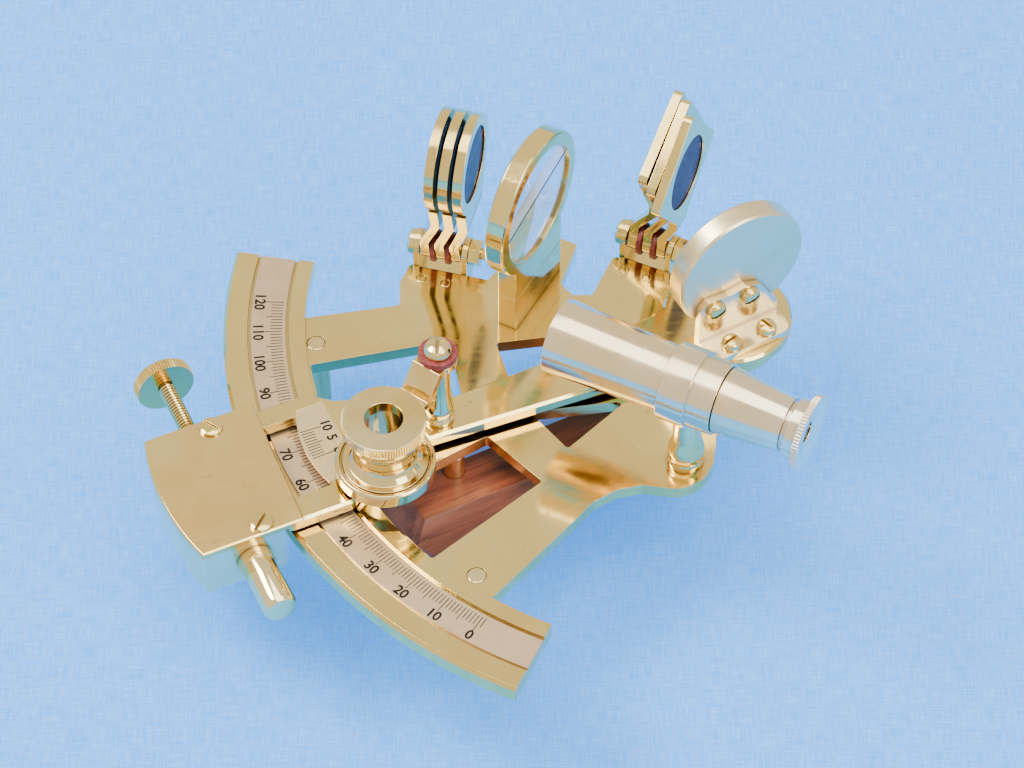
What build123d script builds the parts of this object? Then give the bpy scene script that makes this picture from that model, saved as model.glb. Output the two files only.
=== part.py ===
from build123d import *
import math
import os

# A brass sextant that lies flat on three legs. Millimetres, +Z up.
# The origin is on the ground, under the pivot of the index arm. The graduated limb is on the -X side,
# its zero end is on the -Y side, where the telescope stands, and the horizon mirror is on the +Y side.

os.makedirs("parts", exist_ok=True)

# ---------------------------------------------------------------- driving dimensions: frame
leg_length = 33.4
leg_radius = 3.2
leg_foot_radius = 4.2
leg_foot_height = 3.0
leg_tenon_radius = 2.4
web_thickness = 3.6
limb_thickness = 4.6
limb_outer_margin = 7.0
limb_inner_margin = 5.0
limb_start_angle = 142.4
limb_end_angle = 218.1
limb_edge_chamfer = 0.8
zero_mark_angle = 210.0
degrees_per_mark = 0.5
highest_mark = 120
scale_outer_radius = 120.0
scale_width = 8.8
scale_groove_width = 0.9
scale_recess_depth = 0.9
scale_thickness = 0.6
mark_inset = 0.8
mark_unit_length = 3.0
mark_five_length = 4.1
mark_ten_length = 4.8
mark_width = 0.22
mark_depth = 0.12
pivot_lobe_radius = 16.0
outline_round = 1.0
opening_round = 0.8
leg_tenon_bevel = 0.25

# plan places of what stands on the frame
limb_leg_places = ((-95.3, 40.4), (-92.5, -43.8))
telescope_post_place = (-30.5, -35.8)

# the outline of the frame's web and of its four openings, in plan
web_outline = [
    (-99.0, -54.3), (-65.2, -40.6), (-56.9, -37.0), (-50.2, -36.4), (-43.9, -37.9), (-39.3, -41.3),
    (-36.2, -43.2), (-32.8, -43.7), (-29.1, -43.0), (-25.1, -40.3), (-21.5, -35.3), (-19.1, -31.1),
    (-8.0, -15.0), (4.0, -10.0), (-1.0, 12.0), (-3.9, 20.6), (-11.3, 29.9), (-14.2, 31.6), (-25.1, 22.5),
    (-29.7, 24.8), (-30.6, 29.5), (-20.4, 39.7), (-23.6, 44.3), (-44.2, 40.8), (-46.7, 39.4),
    (-62.1, 53.6), (-67.2, 49.2), (-70.7, 42.1), (-100.0, 51.1), (-112.0, 38.0), (-114.0, 0.0),
    (-112.0, -40.0),
]
front_opening = [(-85.0, -8.2), (-70.6, -6.7), (-65.1, -25.6), (-99.8, -34.5), (-103.4, -21.0), (-105.1, -9.0)]
rear_opening = [(-85.0, 8.2), (-70.6, 6.7), (-65.1, 25.6), (-99.8, 34.5), (-103.4, 21.0), (-105.1, 9.0)]
front_window = [(-57.6, -4.7), (-54.7, -19.4), (-34.4, -12.6)]
rear_window = [(-57.6, 4.7), (-54.7, 19.4), (-34.4, 12.6)]

# ---------------------------------------------------------------- driving dimensions: handle
grip_start_x = -99.0
grip_end_x = -11.0
grip_centre_y = -9.0
grip_width = 28.0
grip_depth = 20.0
grip_gap = 7.4
grip_side_bevel = 7.5
grip_end_bevel = 6.5
grip_post_y = -4.9
grip_post_places_x = (-79.0, -24.0)
grip_post_radius = 2.7
grip_post_tenon = 9.0
grip_screw_radius = 1.2
grip_screw_head_radius = 2.8
grip_screw_head_height = 1.6
grip_screw_inset = 0.6
grip_screw_engagement = 4.0

# ---------------------------------------------------------------- driving dimensions: index arm
index_reading = 63.1
arm_gap = 0.6
arm_thickness = 3.2
arm_edge_bevel = 0.7
arm_round = 3.0
arm_boss_centre = (0.5, -2.2)
arm_boss_radius = 16.5
arm_end_reach = 128.0
arm_outline = [
    (-4.0, 9.0), (-18.0, 5.2), (-45.0, 2.9), (-80.0, 2.2), (-93.6, 10.5), (-101.7, 13.7), (-106.5, 18.2),
    (-arm_end_reach, 18.2), (-arm_end_reach, -18.2), (-109.7, -18.2), (-99.0, -10.4), (-85.0, -8.1), (-40.0, -10.7),
    (-18.0, -13.4), (-4.0, -16.0),
]
window_inner_reach = 112.2
window_length = 10.8
window_top = 12.3
window_bottom = -11.2
window_round = 1.0
vernier_thickness = 0.9
vernier_edge_centre = (-79.3, 0.5)
vernier_edge_radius = 35.0
vernier_outline = [(-104.5, -10.2), (-104.5, 13.9), (-115.5, 13.9), (-115.5, -10.2)]
vernier_marks = 10
vernier_zero_angle = 180.95
vernier_span = 4.5
vernier_mark_end = 113.5
vernier_unit_length = 3.3
vernier_five_length = 4.3
vernier_ten_length = 5.4
pivot_stud_radius = 2.5
pivot_stud_tail = 8.0
pivot_head_radius = 4.6
pivot_head_height = 1.6
running_clearance = 0.06
fit_clearance = 0.02
face_clearance = 0.1

# ---------------------------------------------------------------- driving dimensions: clamp
cover_outline = [(-120.9, 19.5), (-123.1, -19.5), (-160.0, -19.5), (-160.0, 19.5)]
cover_arc_centre = (-84.4, 0.0)
cover_arc_radius = 68.0
cover_thickness = 1.8
cover_edge_bevel = 0.4
cover_screw_setback = 5.0
cover_screw_side = 16.3
cover_screw_head = (2.9, 0.7, 1.1)
cover_screw_slots = (-62.0, 38.0)
block_gap = 1.0
block_rim_step = 0.6
block_half_width = 19.4
block_height = 13.6
block_wall = 3.0
block_cavity_depth = 11.0
block_cavity_half_width = 12.6
block_cavity_height = 11.0
tangent_setback = 8.5
tangent_drop = 2.7
tangent_thread_radius = 2.15
tangent_thread_pitch = 0.9
tangent_thread_depth = 0.4
tangent_neck_radius = 1.7
tangent_pin_radius = 1.5
tangent_knob_start = 39.7
tangent_knob_radius = 7.6
tangent_knob_thickness = 3.1
tangent_knob_teeth = 60
knurl_depth = 0.35
cylinder_radius = 4.25
cylinder_collar_radius = 4.55
cylinder_collar_length = 3.0
cylinder_length = 17.6
cylinder_end_round = 1.6
shoe_half_length = 5.0
shoe_half_width = 4.6
shoe_half_height = 3.5

# ---------------------------------------------------------------- driving dimensions: mirrors
index_mirror_radius = 17.9
index_mirror_depth = 6.0
index_mirror_front = -0.6
index_mirror_shift = 0.8
index_mirror_clear = 2.3
mirror_rim = 1.7
mirror_glass_thickness = 2.0
mirror_lip = 0.6
mirror_bracket_thickness = 2.0
mirror_bracket_reach = 9.6
mirror_bracket_outline = [
    (-12.4, 0.0), (-12.4, 13.4), (-10.2, 15.6), (-4.0, 14.9), (1.0, 15.8), (5.4, 14.2), (8.0, 9.6),
    (10.2, 6.6), (11.0, 4.0), (11.0, 0.0),
]
mirror_bracket_round = 1.0
mirror_bracket_corner = 3.0
mirror_back_screw_places = ((-8.0, 12.2), (2.0, 12.2))
mirror_foot_screw_places = ((-5.6, -6.6), (4.8, -6.6))
horizon_mirror_centre = (-38.2, 27.6)
horizon_mirror_height = 72.7
horizon_mirror_radius = 19.4
horizon_mirror_opening = 15.8
horizon_mirror_depth = 5.2
horizon_front_lip = 1.2
horizon_plane_angle = 34.0
horizon_foot_length = 24.0
horizon_foot_height = 11.0
horizon_block_overlap = 9.0
mirror_back_screw_slots = (20.0, 20.0)
mirror_foot_screw_slots = (13.0, -72.0)
mirror_screw_head = (2.6, 1.0, 2.25)
screw_shank_radius = 1.4
cover_screw_depth = 3.0
mirror_back_screw_depth = 2.4
mirror_foot_screw_depth = 2.6
slot_width = 0.8
slot_depth = 0.9

# ---------------------------------------------------------------- driving dimensions: shades
shade_bolt_height = 5.0
shade_bolt_radius = 1.5
shade_thickness = 2.5
shade_hub_gap = 1.5
shade_hub_radius = 3.3
fibre_washer_play = 0.1
fibre_washer_radius = 4.3
ear_thickness = 1.5
ear_side_gap = 0.4
ear_half_width = 3.8
bracket_floor = 1.6
bracket_foot_reach = 11.5
horizon_bracket_place = (-53.6, 51.0)
horizon_bracket_angle = 318.0
horizon_shade_bend = (5.0, 15.0)
horizon_shade_stem = (3.2, 9.4, 22.5)
horizon_shade_shift = 3.65
horizon_shade_pitch = 3.7
horizon_shade_rise = 32.9
horizon_shade_radius = 13.2
horizon_shade_lean = (0.0, 0.0, 0.0)
index_bracket_place = (-5.1, 28.1)
index_bracket_angle = 307.5
index_shade_bend = (4.5, 9.5)
index_shade_stem = (3.0, 3.6, 12.0)
index_shade_shift = 3.5
index_shade_pitch = 3.2
index_shade_rise = 26.6
index_shade_side = 26.2
index_shade_corner = 2.0
index_shade_lean = (18.0, 14.0, 6.0)
shade_glass_radius = 10.6
shade_glass_thickness = 1.2
shade_lip = 0.6
shade_lip_depth = 0.5
bolt_head_radius = 3.4
bolt_head_height = 2.2
nut_flats_radius = 3.1
nut_thickness = 3.0
bolt_end = 1.2
rivet_radius = 1.3
rivet_bevel = 0.2
rivet_offsets = (-3.9, 2.6)
rivet_setback = 7.9

# ---------------------------------------------------------------- driving dimensions: telescope
telescope_axis_height = 65.0
telescope_angle = 125.4
telescope_front = 35.6
telescope_collar_front = 4.9
telescope_collar_step = -2.4
telescope_rear = -8.9
telescope_front_radius = 9.45
telescope_middle_radius = 8.45
telescope_collar_radius = 9.9
telescope_rear_radius = 9.2
telescope_rim_length = 2.0
telescope_seat_radius = 8.5
telescope_seat_depth = 3.4
telescope_saddle_radius = 3.5
telescope_saddle_drop = 0.6
draw_tube_radius = 7.0
draw_tube_bore = 5.0
draw_tube_inside = 22.0
draw_tube_cone_end = -25.9
draw_tube_cone_front = 8.5
draw_tube_cone_rear = 6.9
draw_tube_neck = 6.3
eyepiece_start = -27.2
eyepiece_collar_radius = 7.7
eyepiece_collar_length = 2.9
eyepiece_radius = 9.5
eyepiece_thickness = 1.7
eyepiece_socket = 2.8
eyepiece_hole_radius = 2.6
eyepiece_teeth = 70
objective_thickness = 2.6
objective_edge = 1.4
objective_setback = 0.9
eye_lens_radius = 5.6
eye_lens_thickness = 1.4
post_base_radius = 4.6
post_waist_radius = 4.25
post_stem_radius = 3.5
post_steps = (1.4, 2.4, 4.4, 6.0, 9.2)

# ---------------------------------------------------------------- driving dimensions: magnifier
magnifier_post_place = (-80.0, -2.6)
magnifier_ring_rise = 15.3
magnifier_arm_lift = 5.7
magnifier_arm_bends = (4.6, 9.6)
magnifier_arm_bend_lag = 0.9
magnifier_post_radius = 3.85
magnifier_post_waist = 3.3
magnifier_post_neck = 3.0
magnifier_post_steps = (1.2, 1.9, 4.6, 6.5, 11.0)
magnifier_arm_thickness = 2.0
magnifier_arm_half_width = 4.1
magnifier_place = (-99.0, -13.1)
magnifier_flange_gap = 1.2
magnifier_flange_radius = 12.35
magnifier_flange_height = 4.0
magnifier_waist_radius = 7.1
magnifier_body_radius = 8.2
magnifier_spigot_radius = 7.4
magnifier_bore_radius = 6.0
magnifier_arm_ring_radius = 9.4
magnifier_ring_radius = 10.4
magnifier_ring_height = 3.3
magnifier_eye_radius = 4.7
magnifier_teeth = 96
magnifier_lens_radius = 8.6
magnifier_lens_thickness = 2.6
magnifier_lens_edge = 1.4
cap_screw_radius = 3.5
cap_screw_height = 2.8
cap_screw_shank_radius = 1.6
cap_screw_engagement = 6.0
magnifier_washer_radius = 4.8
magnifier_washer_thickness = 1.8

# ---------------------------------------------------------------- heights worked out from the above
plate_bottom = leg_length
web_top = plate_bottom + web_thickness
limb_top = plate_bottom + limb_thickness
arm_bottom = limb_top + arm_gap
arm_top = arm_bottom + arm_thickness
cover_top = arm_top + cover_thickness
scale_inner_radius = scale_outer_radius - scale_width
limb_outer_radius = scale_outer_radius + limb_outer_margin
limb_inner_radius = scale_inner_radius - limb_inner_margin
mark_start_radius = scale_inner_radius + mark_inset
window_outer_reach = window_inner_reach + window_length
block_inner_reach = limb_outer_radius + block_gap
cover_screw_reach = block_inner_reach + cover_screw_setback
tangent_reach = block_inner_reach + tangent_setback
block_bottom = arm_top - block_height
tangent_height = limb_top - tangent_drop
grip_top = plate_bottom - grip_gap
grip_bottom = grip_top - grip_depth
arm_angle = zero_mark_angle - degrees_per_mark * index_reading - vernier_zero_angle
index_mirror_angle = horizon_plane_angle - degrees_per_mark * index_reading
horizon_foot_top = web_top + horizon_foot_height
shade_hub_pitch = shade_thickness + shade_hub_gap
fibre_washer_thickness = shade_hub_gap - 2 * fibre_washer_play
ear_inner = shade_hub_pitch + shade_thickness / 2 + ear_side_gap
ear_outer = ear_inner + ear_thickness


# ---------------------------------------------------------------- helpers
def direction_of(angle):
    """A horizontal unit vector at an angle from +X, in degrees."""
    return Vector(math.cos(math.radians(angle)), math.sin(math.radians(angle)), 0)


def level_plane(height, angle=0.0):
    """A level plane through the pivot axis whose local X is turned by an angle."""
    return Plane(origin=(0, 0, height), x_dir=direction_of(angle), z_dir=(0, 0, 1))


def upright_plane(origin, facing):
    """A plane with level local X, upward local Y and the given normal."""
    return Plane(origin=origin, x_dir=Vector(0, 0, 1).cross(facing), z_dir=facing)


def place_in(angle, along, across, height):
    """A point given along and across a direction that is turned by an angle about the pivot."""
    spot = direction_of(angle) * along + direction_of(angle + 90) * across
    return Vector(spot.X, spot.Y, height)


def square_to(direction):
    """A unit vector that is square to a direction."""
    if abs(direction.Z) > 0.9:
        return Vector(1, 0, 0)
    return Vector(0, 0, 1).cross(direction).normalized()


def turned(profile, origin, direction):
    """A turned solid from its profile of (radius, distance along the axis) points."""
    side = square_to(direction)
    plane = Plane(origin=origin, x_dir=side, z_dir=side.cross(direction))
    with BuildPart() as work:
        with BuildSketch(plane):
            with BuildLine():
                Polyline(*profile, close=True)
            make_face()
        revolve(axis=Axis(origin, direction))
    return work.part


def knurled(radius, teeth, thickness, origin, direction):
    """A disc with straight V teeth round its rim."""
    rim = []
    for step in range(2 * teeth):
        reach = radius - knurl_depth * (step % 2)
        angle = math.pi * step / teeth
        rim.append((reach * math.cos(angle), reach * math.sin(angle)))
    with BuildPart() as work:
        with BuildSketch(Plane(origin=origin, x_dir=square_to(direction), z_dir=direction)):
            Polygon(*rim, align=None)
        extrude(amount=thickness)
    return work.part


def slotted(profile, origin, direction, slot_turn):
    """A turned screw whose last profile point is the middle of its head's top, with a slot there."""
    crown = profile[-1][1]
    side = square_to(direction).rotate(Axis((0, 0, 0), direction), slot_turn)
    floor = origin + direction * (crown - slot_depth)
    widest = max(point[0] for point in profile)
    with BuildPart() as work:
        add(turned(profile, origin, direction))
        with BuildSketch(Plane(origin=floor, x_dir=side, z_dir=direction)):
            Rectangle(3 * widest, slot_width)
        extrude(amount=3 * slot_depth, mode=Mode.SUBTRACT)
    return work.part


def domed_screw(origin, direction, slot_turn, shank, head):
    """A slotted screw with its seat at the origin and a domed head along the direction."""
    head_radius, head_side, crown = head
    dome = crown - head_side
    profile = [
        (0, -shank),
        (screw_shank_radius, -shank),
        (screw_shank_radius, 0),
        (head_radius, 0),
        (head_radius, head_side),
        (0.88 * head_radius, head_side + 0.5 * dome),
        (0.6 * head_radius, head_side + 0.86 * dome),
        (0.3 * head_radius, crown),
        (0, crown),
    ]
    return slotted(profile, origin, direction, slot_turn)


def drilled(body, radius, depth, origin, direction):
    """A body with a round hole that starts at the origin and runs along the direction."""
    with BuildPart() as work:
        add(body)
        with BuildSketch(Plane(origin=origin, x_dir=square_to(direction), z_dir=direction)):
            Circle(radius)
        extrude(amount=depth, mode=Mode.SUBTRACT)
    return work.part


def ring_sector(inner, outer, start, span):
    """A face between two arcs about the pivot."""
    near = direction_of(start)
    far = direction_of(start + span)
    with BuildSketch() as work:
        with BuildLine():
            CenterArc((0, 0), outer, start, span)
            Line(far * outer, far * inner)
            CenterArc((0, 0), inner, start, span)
            Line(near * inner, near * outer)
        make_face()
    return work.sketch


def rounded_outline(points, radius):
    """A face from an outline whose corners are rounded."""
    with BuildSketch() as work:
        with BuildLine():
            FilletPolyline(*points, radius=radius, close=True)
        make_face()
    return work.sketch


def bevelled(width, height, bevel):
    """A rectangle with its four corners cut off."""
    with BuildSketch() as work:
        Rectangle(width, height)
        chamfer(work.vertices(), bevel)
    return work.sketch


def disc(radius, thickness, origin, direction):
    """A plain disc that starts at the origin."""
    with BuildPart() as work:
        with BuildSketch(Plane(origin=origin, x_dir=square_to(direction), z_dir=direction)):
            Circle(radius)
        extrude(amount=thickness)
    return work.part


def save(part, name):
    """Names a finished part and writes its file."""
    part.label = name
    export_step(part, "parts/" + name + ".step")


def save_group(parts, name):
    """Names a set of like parts and writes them to one file."""
    group = Compound(label=name, children=parts)
    export_step(group, "parts/" + name + ".step")


up = Vector(0, 0, 1)
down = Vector(0, 0, -1)

# ---------------------------------------------------------------- frame
bracket_notches = ((horizon_bracket_place, horizon_bracket_angle), (index_bracket_place, index_bracket_angle))
notch_width = 2 * (ear_outer + face_clearance)
notch_depth = 2 * (ear_half_width + face_clearance)
with BuildPart() as frame:
    with BuildSketch(Plane.XY.offset(plate_bottom)):
        add(ring_sector(limb_inner_radius, limb_outer_radius, limb_start_angle, limb_end_angle - limb_start_angle))
    extrude(amount=limb_thickness)
    chamfer(frame.edges().filter_by(GeomType.CIRCLE).group_by(Axis.Z)[-1].sort_by(SortBy.RADIUS)[-1], limb_edge_chamfer)
    with BuildSketch(Plane.XY.offset(plate_bottom)):
        add(rounded_outline(web_outline, outline_round))
        Circle(pivot_lobe_radius)
        Circle(limb_inner_radius + 1.0, mode=Mode.INTERSECT)
        for opening in (front_opening, rear_opening, front_window, rear_window):
            add(rounded_outline(opening, opening_round), mode=Mode.SUBTRACT)
        for notch_place, notch_angle in bracket_notches:
            with Locations(Location((*notch_place, 0), (0, 0, notch_angle))):
                Rectangle(notch_width, notch_depth, mode=Mode.SUBTRACT)
    extrude(amount=web_thickness)
    with BuildSketch(Plane.XY.offset(limb_top - scale_recess_depth)):
        add(ring_sector(
            scale_inner_radius - scale_groove_width,
            scale_outer_radius + scale_groove_width,
            limb_start_angle - 1,
            limb_end_angle - limb_start_angle + 2,
        ))
    extrude(amount=limb_thickness, mode=Mode.SUBTRACT)
    with BuildSketch(Plane.XY.offset(plate_bottom)):
        Circle(pivot_stud_radius + fit_clearance)
        with Locations(*limb_leg_places):
            Circle(leg_tenon_radius + fit_clearance)
    extrude(amount=web_thickness, mode=Mode.SUBTRACT)

# ---------------------------------------------------------------- graduated strip
strip_bottom = limb_top - scale_recess_depth
strip_top = strip_bottom + scale_thickness
with BuildPart() as arc_scale:
    with BuildSketch(Plane.XY.offset(strip_bottom)):
        add(ring_sector(
            scale_inner_radius,
            scale_outer_radius,
            limb_start_angle,
            limb_end_angle - limb_start_angle,
        ))
    extrude(amount=scale_thickness)
    with BuildSketch(Plane.XY.offset(strip_top - mark_depth)):
        for mark in range(-1, highest_mark + 1):
            mark_length = mark_unit_length
            if mark % 5 == 0:
                mark_length = mark_five_length
            if mark % 10 == 0:
                mark_length = mark_ten_length
            mark_angle = zero_mark_angle - degrees_per_mark * mark
            mark_middle = direction_of(mark_angle) * (mark_start_radius + mark_length / 2)
            with Locations(Location((mark_middle.X, mark_middle.Y, 0), (0, 0, mark_angle))):
                Rectangle(mark_length, mark_width)
    extrude(amount=mark_depth, mode=Mode.SUBTRACT)
save(arc_scale.part, "arc_scale")

# ---------------------------------------------------------------- legs
leg_profile = [
    (0, 0),
    (leg_foot_radius - 0.5, 0),
    (leg_foot_radius, 0.5),
    (leg_foot_radius, leg_foot_height),
    (leg_radius, leg_foot_height + 1.0),
    (leg_radius, plate_bottom),
]
leg_tenon = [
    (leg_tenon_radius, plate_bottom),
    (leg_tenon_radius, web_top - leg_tenon_bevel),
    (leg_tenon_radius - leg_tenon_bevel, web_top),
    (0, web_top),
]
limb_legs = []
for leg_place in limb_leg_places:
    limb_legs.append(turned(leg_profile + leg_tenon, Vector(*leg_place, 0), up))
save_group(limb_legs, "limb_legs")

pivot_leg_socket = [(pivot_stud_radius + fit_clearance, plate_bottom)]
pivot_leg_socket.append((pivot_stud_radius + fit_clearance, plate_bottom - pivot_stud_tail))
pivot_leg_socket.append((0, plate_bottom - pivot_stud_tail))
pivot_leg = turned(leg_profile + pivot_leg_socket, Vector(0, 0, 0), up)
save(pivot_leg, "pivot_leg")

pivot_stud_profile = [
    (0, plate_bottom - pivot_stud_tail),
    (pivot_stud_radius, plate_bottom - pivot_stud_tail),
    (pivot_stud_radius, arm_top + face_clearance),
    (pivot_head_radius, arm_top + face_clearance),
    (pivot_head_radius, arm_top + pivot_head_height - 0.4),
    (pivot_head_radius - 0.4, arm_top + pivot_head_height),
    (0, arm_top + pivot_head_height),
]
pivot_stud = turned(pivot_stud_profile, Vector(0, 0, 0), up)
save(pivot_stud, "pivot_stud")

# ---------------------------------------------------------------- handle
grip_length = grip_end_x - grip_start_x
grip_middle = Vector((grip_start_x + grip_end_x) / 2, grip_centre_y, grip_bottom + grip_depth / 2)
grip_screw_seat = grip_bottom + grip_screw_inset + grip_screw_head_height
grip_post_end = grip_top - grip_post_tenon
with BuildPart() as handle_grip:
    with BuildSketch(Plane(origin=grip_middle, x_dir=(0, 1, 0), z_dir=(1, 0, 0))):
        add(bevelled(grip_width, grip_depth, grip_side_bevel))
    extrude(amount=grip_length / 2, both=True)
    with BuildSketch(Plane(origin=grip_middle, x_dir=(1, 0, 0), z_dir=(0, -1, 0))):
        add(bevelled(grip_length, grip_depth, grip_end_bevel))
    extrude(amount=grip_width, both=True, mode=Mode.INTERSECT)
    with BuildSketch(Plane(origin=grip_middle, x_dir=(1, 0, 0), z_dir=(0, 0, 1))):
        add(bevelled(grip_length, grip_width, grip_end_bevel))
    extrude(amount=grip_depth, both=True, mode=Mode.INTERSECT)
    with BuildSketch(Plane.XY.offset(grip_post_end)):
        with Locations(*[(post_x, grip_post_y) for post_x in grip_post_places_x]):
            Circle(grip_post_radius + fit_clearance)
    extrude(amount=grip_post_tenon, mode=Mode.SUBTRACT)
    with BuildSketch(Plane.XY.offset(grip_bottom)):
        with Locations(*[(post_x, grip_post_y) for post_x in grip_post_places_x]):
            Circle(grip_screw_radius + fit_clearance)
    extrude(amount=grip_depth - grip_post_tenon, mode=Mode.SUBTRACT)
    with BuildSketch(Plane.XY.offset(grip_bottom)):
        with Locations(*[(post_x, grip_post_y) for post_x in grip_post_places_x]):
            Circle(grip_screw_head_radius + fit_clearance)
    extrude(amount=grip_screw_inset + grip_screw_head_height, mode=Mode.SUBTRACT)
save(handle_grip.part, "handle_grip")

handle_posts = []
handle_screws = []
for post_x in grip_post_places_x:
    post_profile = [
        (grip_screw_radius + fit_clearance, grip_post_end),
        (grip_post_radius, grip_post_end),
        (grip_post_radius, plate_bottom),
        (0, plate_bottom),
        (0, grip_post_end + grip_screw_engagement),
        (grip_screw_radius + fit_clearance, grip_post_end + grip_screw_engagement),
    ]
    handle_posts.append(turned(post_profile, Vector(post_x, grip_post_y, 0), up))
    screw_reach = grip_post_end + grip_screw_engagement - grip_screw_seat
    screw_profile = [
        (0, -screw_reach),
        (grip_screw_radius, -screw_reach),
        (grip_screw_radius, 0),
        (grip_screw_head_radius, 0),
        (grip_screw_head_radius, grip_screw_head_height),
        (0, grip_screw_head_height),
    ]
    handle_screws.append(slotted(screw_profile, Vector(post_x, grip_post_y, grip_screw_seat), down, 30))
save_group(handle_posts, "handle_posts")
save_group(handle_screws, "handle_screws")

# ---------------------------------------------------------------- index arm
arm_post_spot = place_in(arm_angle, *magnifier_post_place, arm_top)
mirror_right = direction_of(index_mirror_angle)
mirror_facing = direction_of(index_mirror_angle + 90)
mirror_back_y = index_mirror_front - index_mirror_depth


def mirror_spot(along, forward, height):
    """A point given along the index mirror, forward of the pivot axis and above the ground."""
    return place_in(index_mirror_angle, along, forward, height)


cover_screw_places = [(-cover_screw_reach, cover_screw_side), (-cover_screw_reach, -cover_screw_side)]

with BuildPart() as index_arm:
    with BuildSketch(level_plane(arm_bottom, arm_angle)):
        add(rounded_outline(arm_outline, arm_round))
        with Locations(arm_boss_centre):
            Circle(arm_boss_radius)
    extrude(amount=arm_thickness)
    chamfer(index_arm.edges().group_by(Axis.Z)[-1], arm_edge_bevel)
    with BuildSketch(level_plane(arm_bottom, arm_angle)):
        with Locations((-(window_outer_reach + window_inner_reach) / 2, (window_top + window_bottom) / 2)):
            RectangleRounded(window_outer_reach - window_inner_reach, window_top - window_bottom, window_round)
        Circle(pivot_stud_radius + running_clearance)
        with Locations(magnifier_post_place):
            Circle(cap_screw_shank_radius + fit_clearance)
    extrude(amount=arm_thickness, mode=Mode.SUBTRACT)
    with BuildSketch(level_plane(arm_top - vernier_thickness, arm_angle)):
        Polygon(*vernier_outline, align=None)
        with Locations(vernier_edge_centre):
            Circle(vernier_edge_radius, mode=Mode.INTERSECT)
    extrude(amount=arm_thickness, mode=Mode.SUBTRACT)

with BuildPart() as vernier_plate:
    with BuildSketch(level_plane(arm_top - vernier_thickness, arm_angle)):
        Polygon(*vernier_outline, align=None)
        with Locations(vernier_edge_centre):
            Circle(vernier_edge_radius, mode=Mode.INTERSECT)
    extrude(amount=vernier_thickness)
    with BuildSketch(level_plane(arm_top - mark_depth, arm_angle)):
        for mark in range(vernier_marks + 1):
            mark_length = vernier_unit_length
            if mark % 5 == 0:
                mark_length = vernier_five_length
            if mark % 10 == 0:
                mark_length = vernier_ten_length
            mark_angle = vernier_zero_angle - vernier_span * mark / vernier_marks
            mark_middle = direction_of(mark_angle) * (vernier_mark_end - mark_length / 2)
            with Locations(Location((mark_middle.X, mark_middle.Y, 0), (0, 0, mark_angle))):
                Rectangle(mark_length, mark_width)
    extrude(amount=mark_depth, mode=Mode.SUBTRACT)
save(vernier_plate.part, "vernier_plate")

# ---------------------------------------------------------------- clamp and tangent screw
tangent_direction = direction_of(arm_angle + 90)
tangent_origin = place_in(arm_angle, -tangent_reach, 0, tangent_height)

with BuildPart() as clamp_cover:
    with BuildSketch(level_plane(arm_top, arm_angle)):
        Polygon(*cover_outline, align=None)
        with Locations(cover_arc_centre):
            Circle(cover_arc_radius, mode=Mode.INTERSECT)
    extrude(amount=cover_thickness)
    chamfer(clamp_cover.edges().group_by(Axis.Z)[-1], cover_edge_bevel)
    with BuildSketch(level_plane(arm_top, arm_angle)):
        with Locations(*cover_screw_places):
            Circle(screw_shank_radius + fit_clearance)
    extrude(amount=cover_thickness, mode=Mode.SUBTRACT)
save(clamp_cover.part, "clamp_cover")

block_depth = cover_arc_radius - cover_arc_centre[0] - block_inner_reach
block_middle = -block_inner_reach - block_depth / 2
cavity_middle = -block_inner_reach - block_wall - block_cavity_depth / 2
with BuildPart() as clamp_block:
    with BuildSketch(level_plane(block_bottom, arm_angle)):
        with Locations((block_middle, 0)):
            Rectangle(block_depth, 2 * block_half_width)
        with Locations(cover_arc_centre):
            Circle(cover_arc_radius - block_rim_step, mode=Mode.INTERSECT)
    extrude(amount=block_height)
    with BuildSketch(level_plane(block_bottom, arm_angle)):
        with Locations((cavity_middle, 0)):
            RectangleRounded(block_cavity_depth, 2 * block_cavity_half_width, 1.0)
    extrude(amount=block_cavity_height, mode=Mode.SUBTRACT)
    with BuildSketch(level_plane(arm_top - cover_screw_depth, arm_angle)):
        with Locations(*cover_screw_places):
            Circle(screw_shank_radius + fit_clearance)
    extrude(amount=cover_screw_depth, mode=Mode.SUBTRACT)
    with BuildSketch(Plane(origin=tangent_origin, x_dir=up, z_dir=tangent_direction)):
        Circle(tangent_neck_radius + running_clearance)
    extrude(amount=block_half_width, mode=Mode.SUBTRACT)
    with BuildSketch(Plane(origin=tangent_origin, x_dir=up, z_dir=tangent_direction)):
        Circle(tangent_pin_radius + running_clearance)
    extrude(amount=-block_half_width, mode=Mode.SUBTRACT)
save(clamp_block.part, "clamp_block")

cover_screws = []
cover_screw_length = cover_screw_depth + cover_thickness
for screw_place, slot_turn in zip(cover_screw_places, cover_screw_slots):
    screw_spot = place_in(arm_angle, *screw_place, cover_top)
    cover_screws.append(domed_screw(screw_spot, up, slot_turn, cover_screw_length, cover_screw_head))
save_group(cover_screws, "clamp_cover_screws")

# The screw: a pin in the far wall, thread inside the block, a plain neck in the near wall, thread again, the knob.
thread_root = tangent_thread_radius - tangent_thread_depth
far_wall = -block_cavity_half_width
near_wall = block_cavity_half_width


def thread_profile(start, end):
    """The crests and roots of a thread's section between two distances along its axis."""
    points = []
    turns = int((end - start) / tangent_thread_pitch)
    for turn in range(turns):
        foot = start + turn * tangent_thread_pitch
        points.append((thread_root, foot))
        points.append((tangent_thread_radius, foot + tangent_thread_pitch / 2))
    points.append((thread_root, start + turns * tangent_thread_pitch))
    return points


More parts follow.
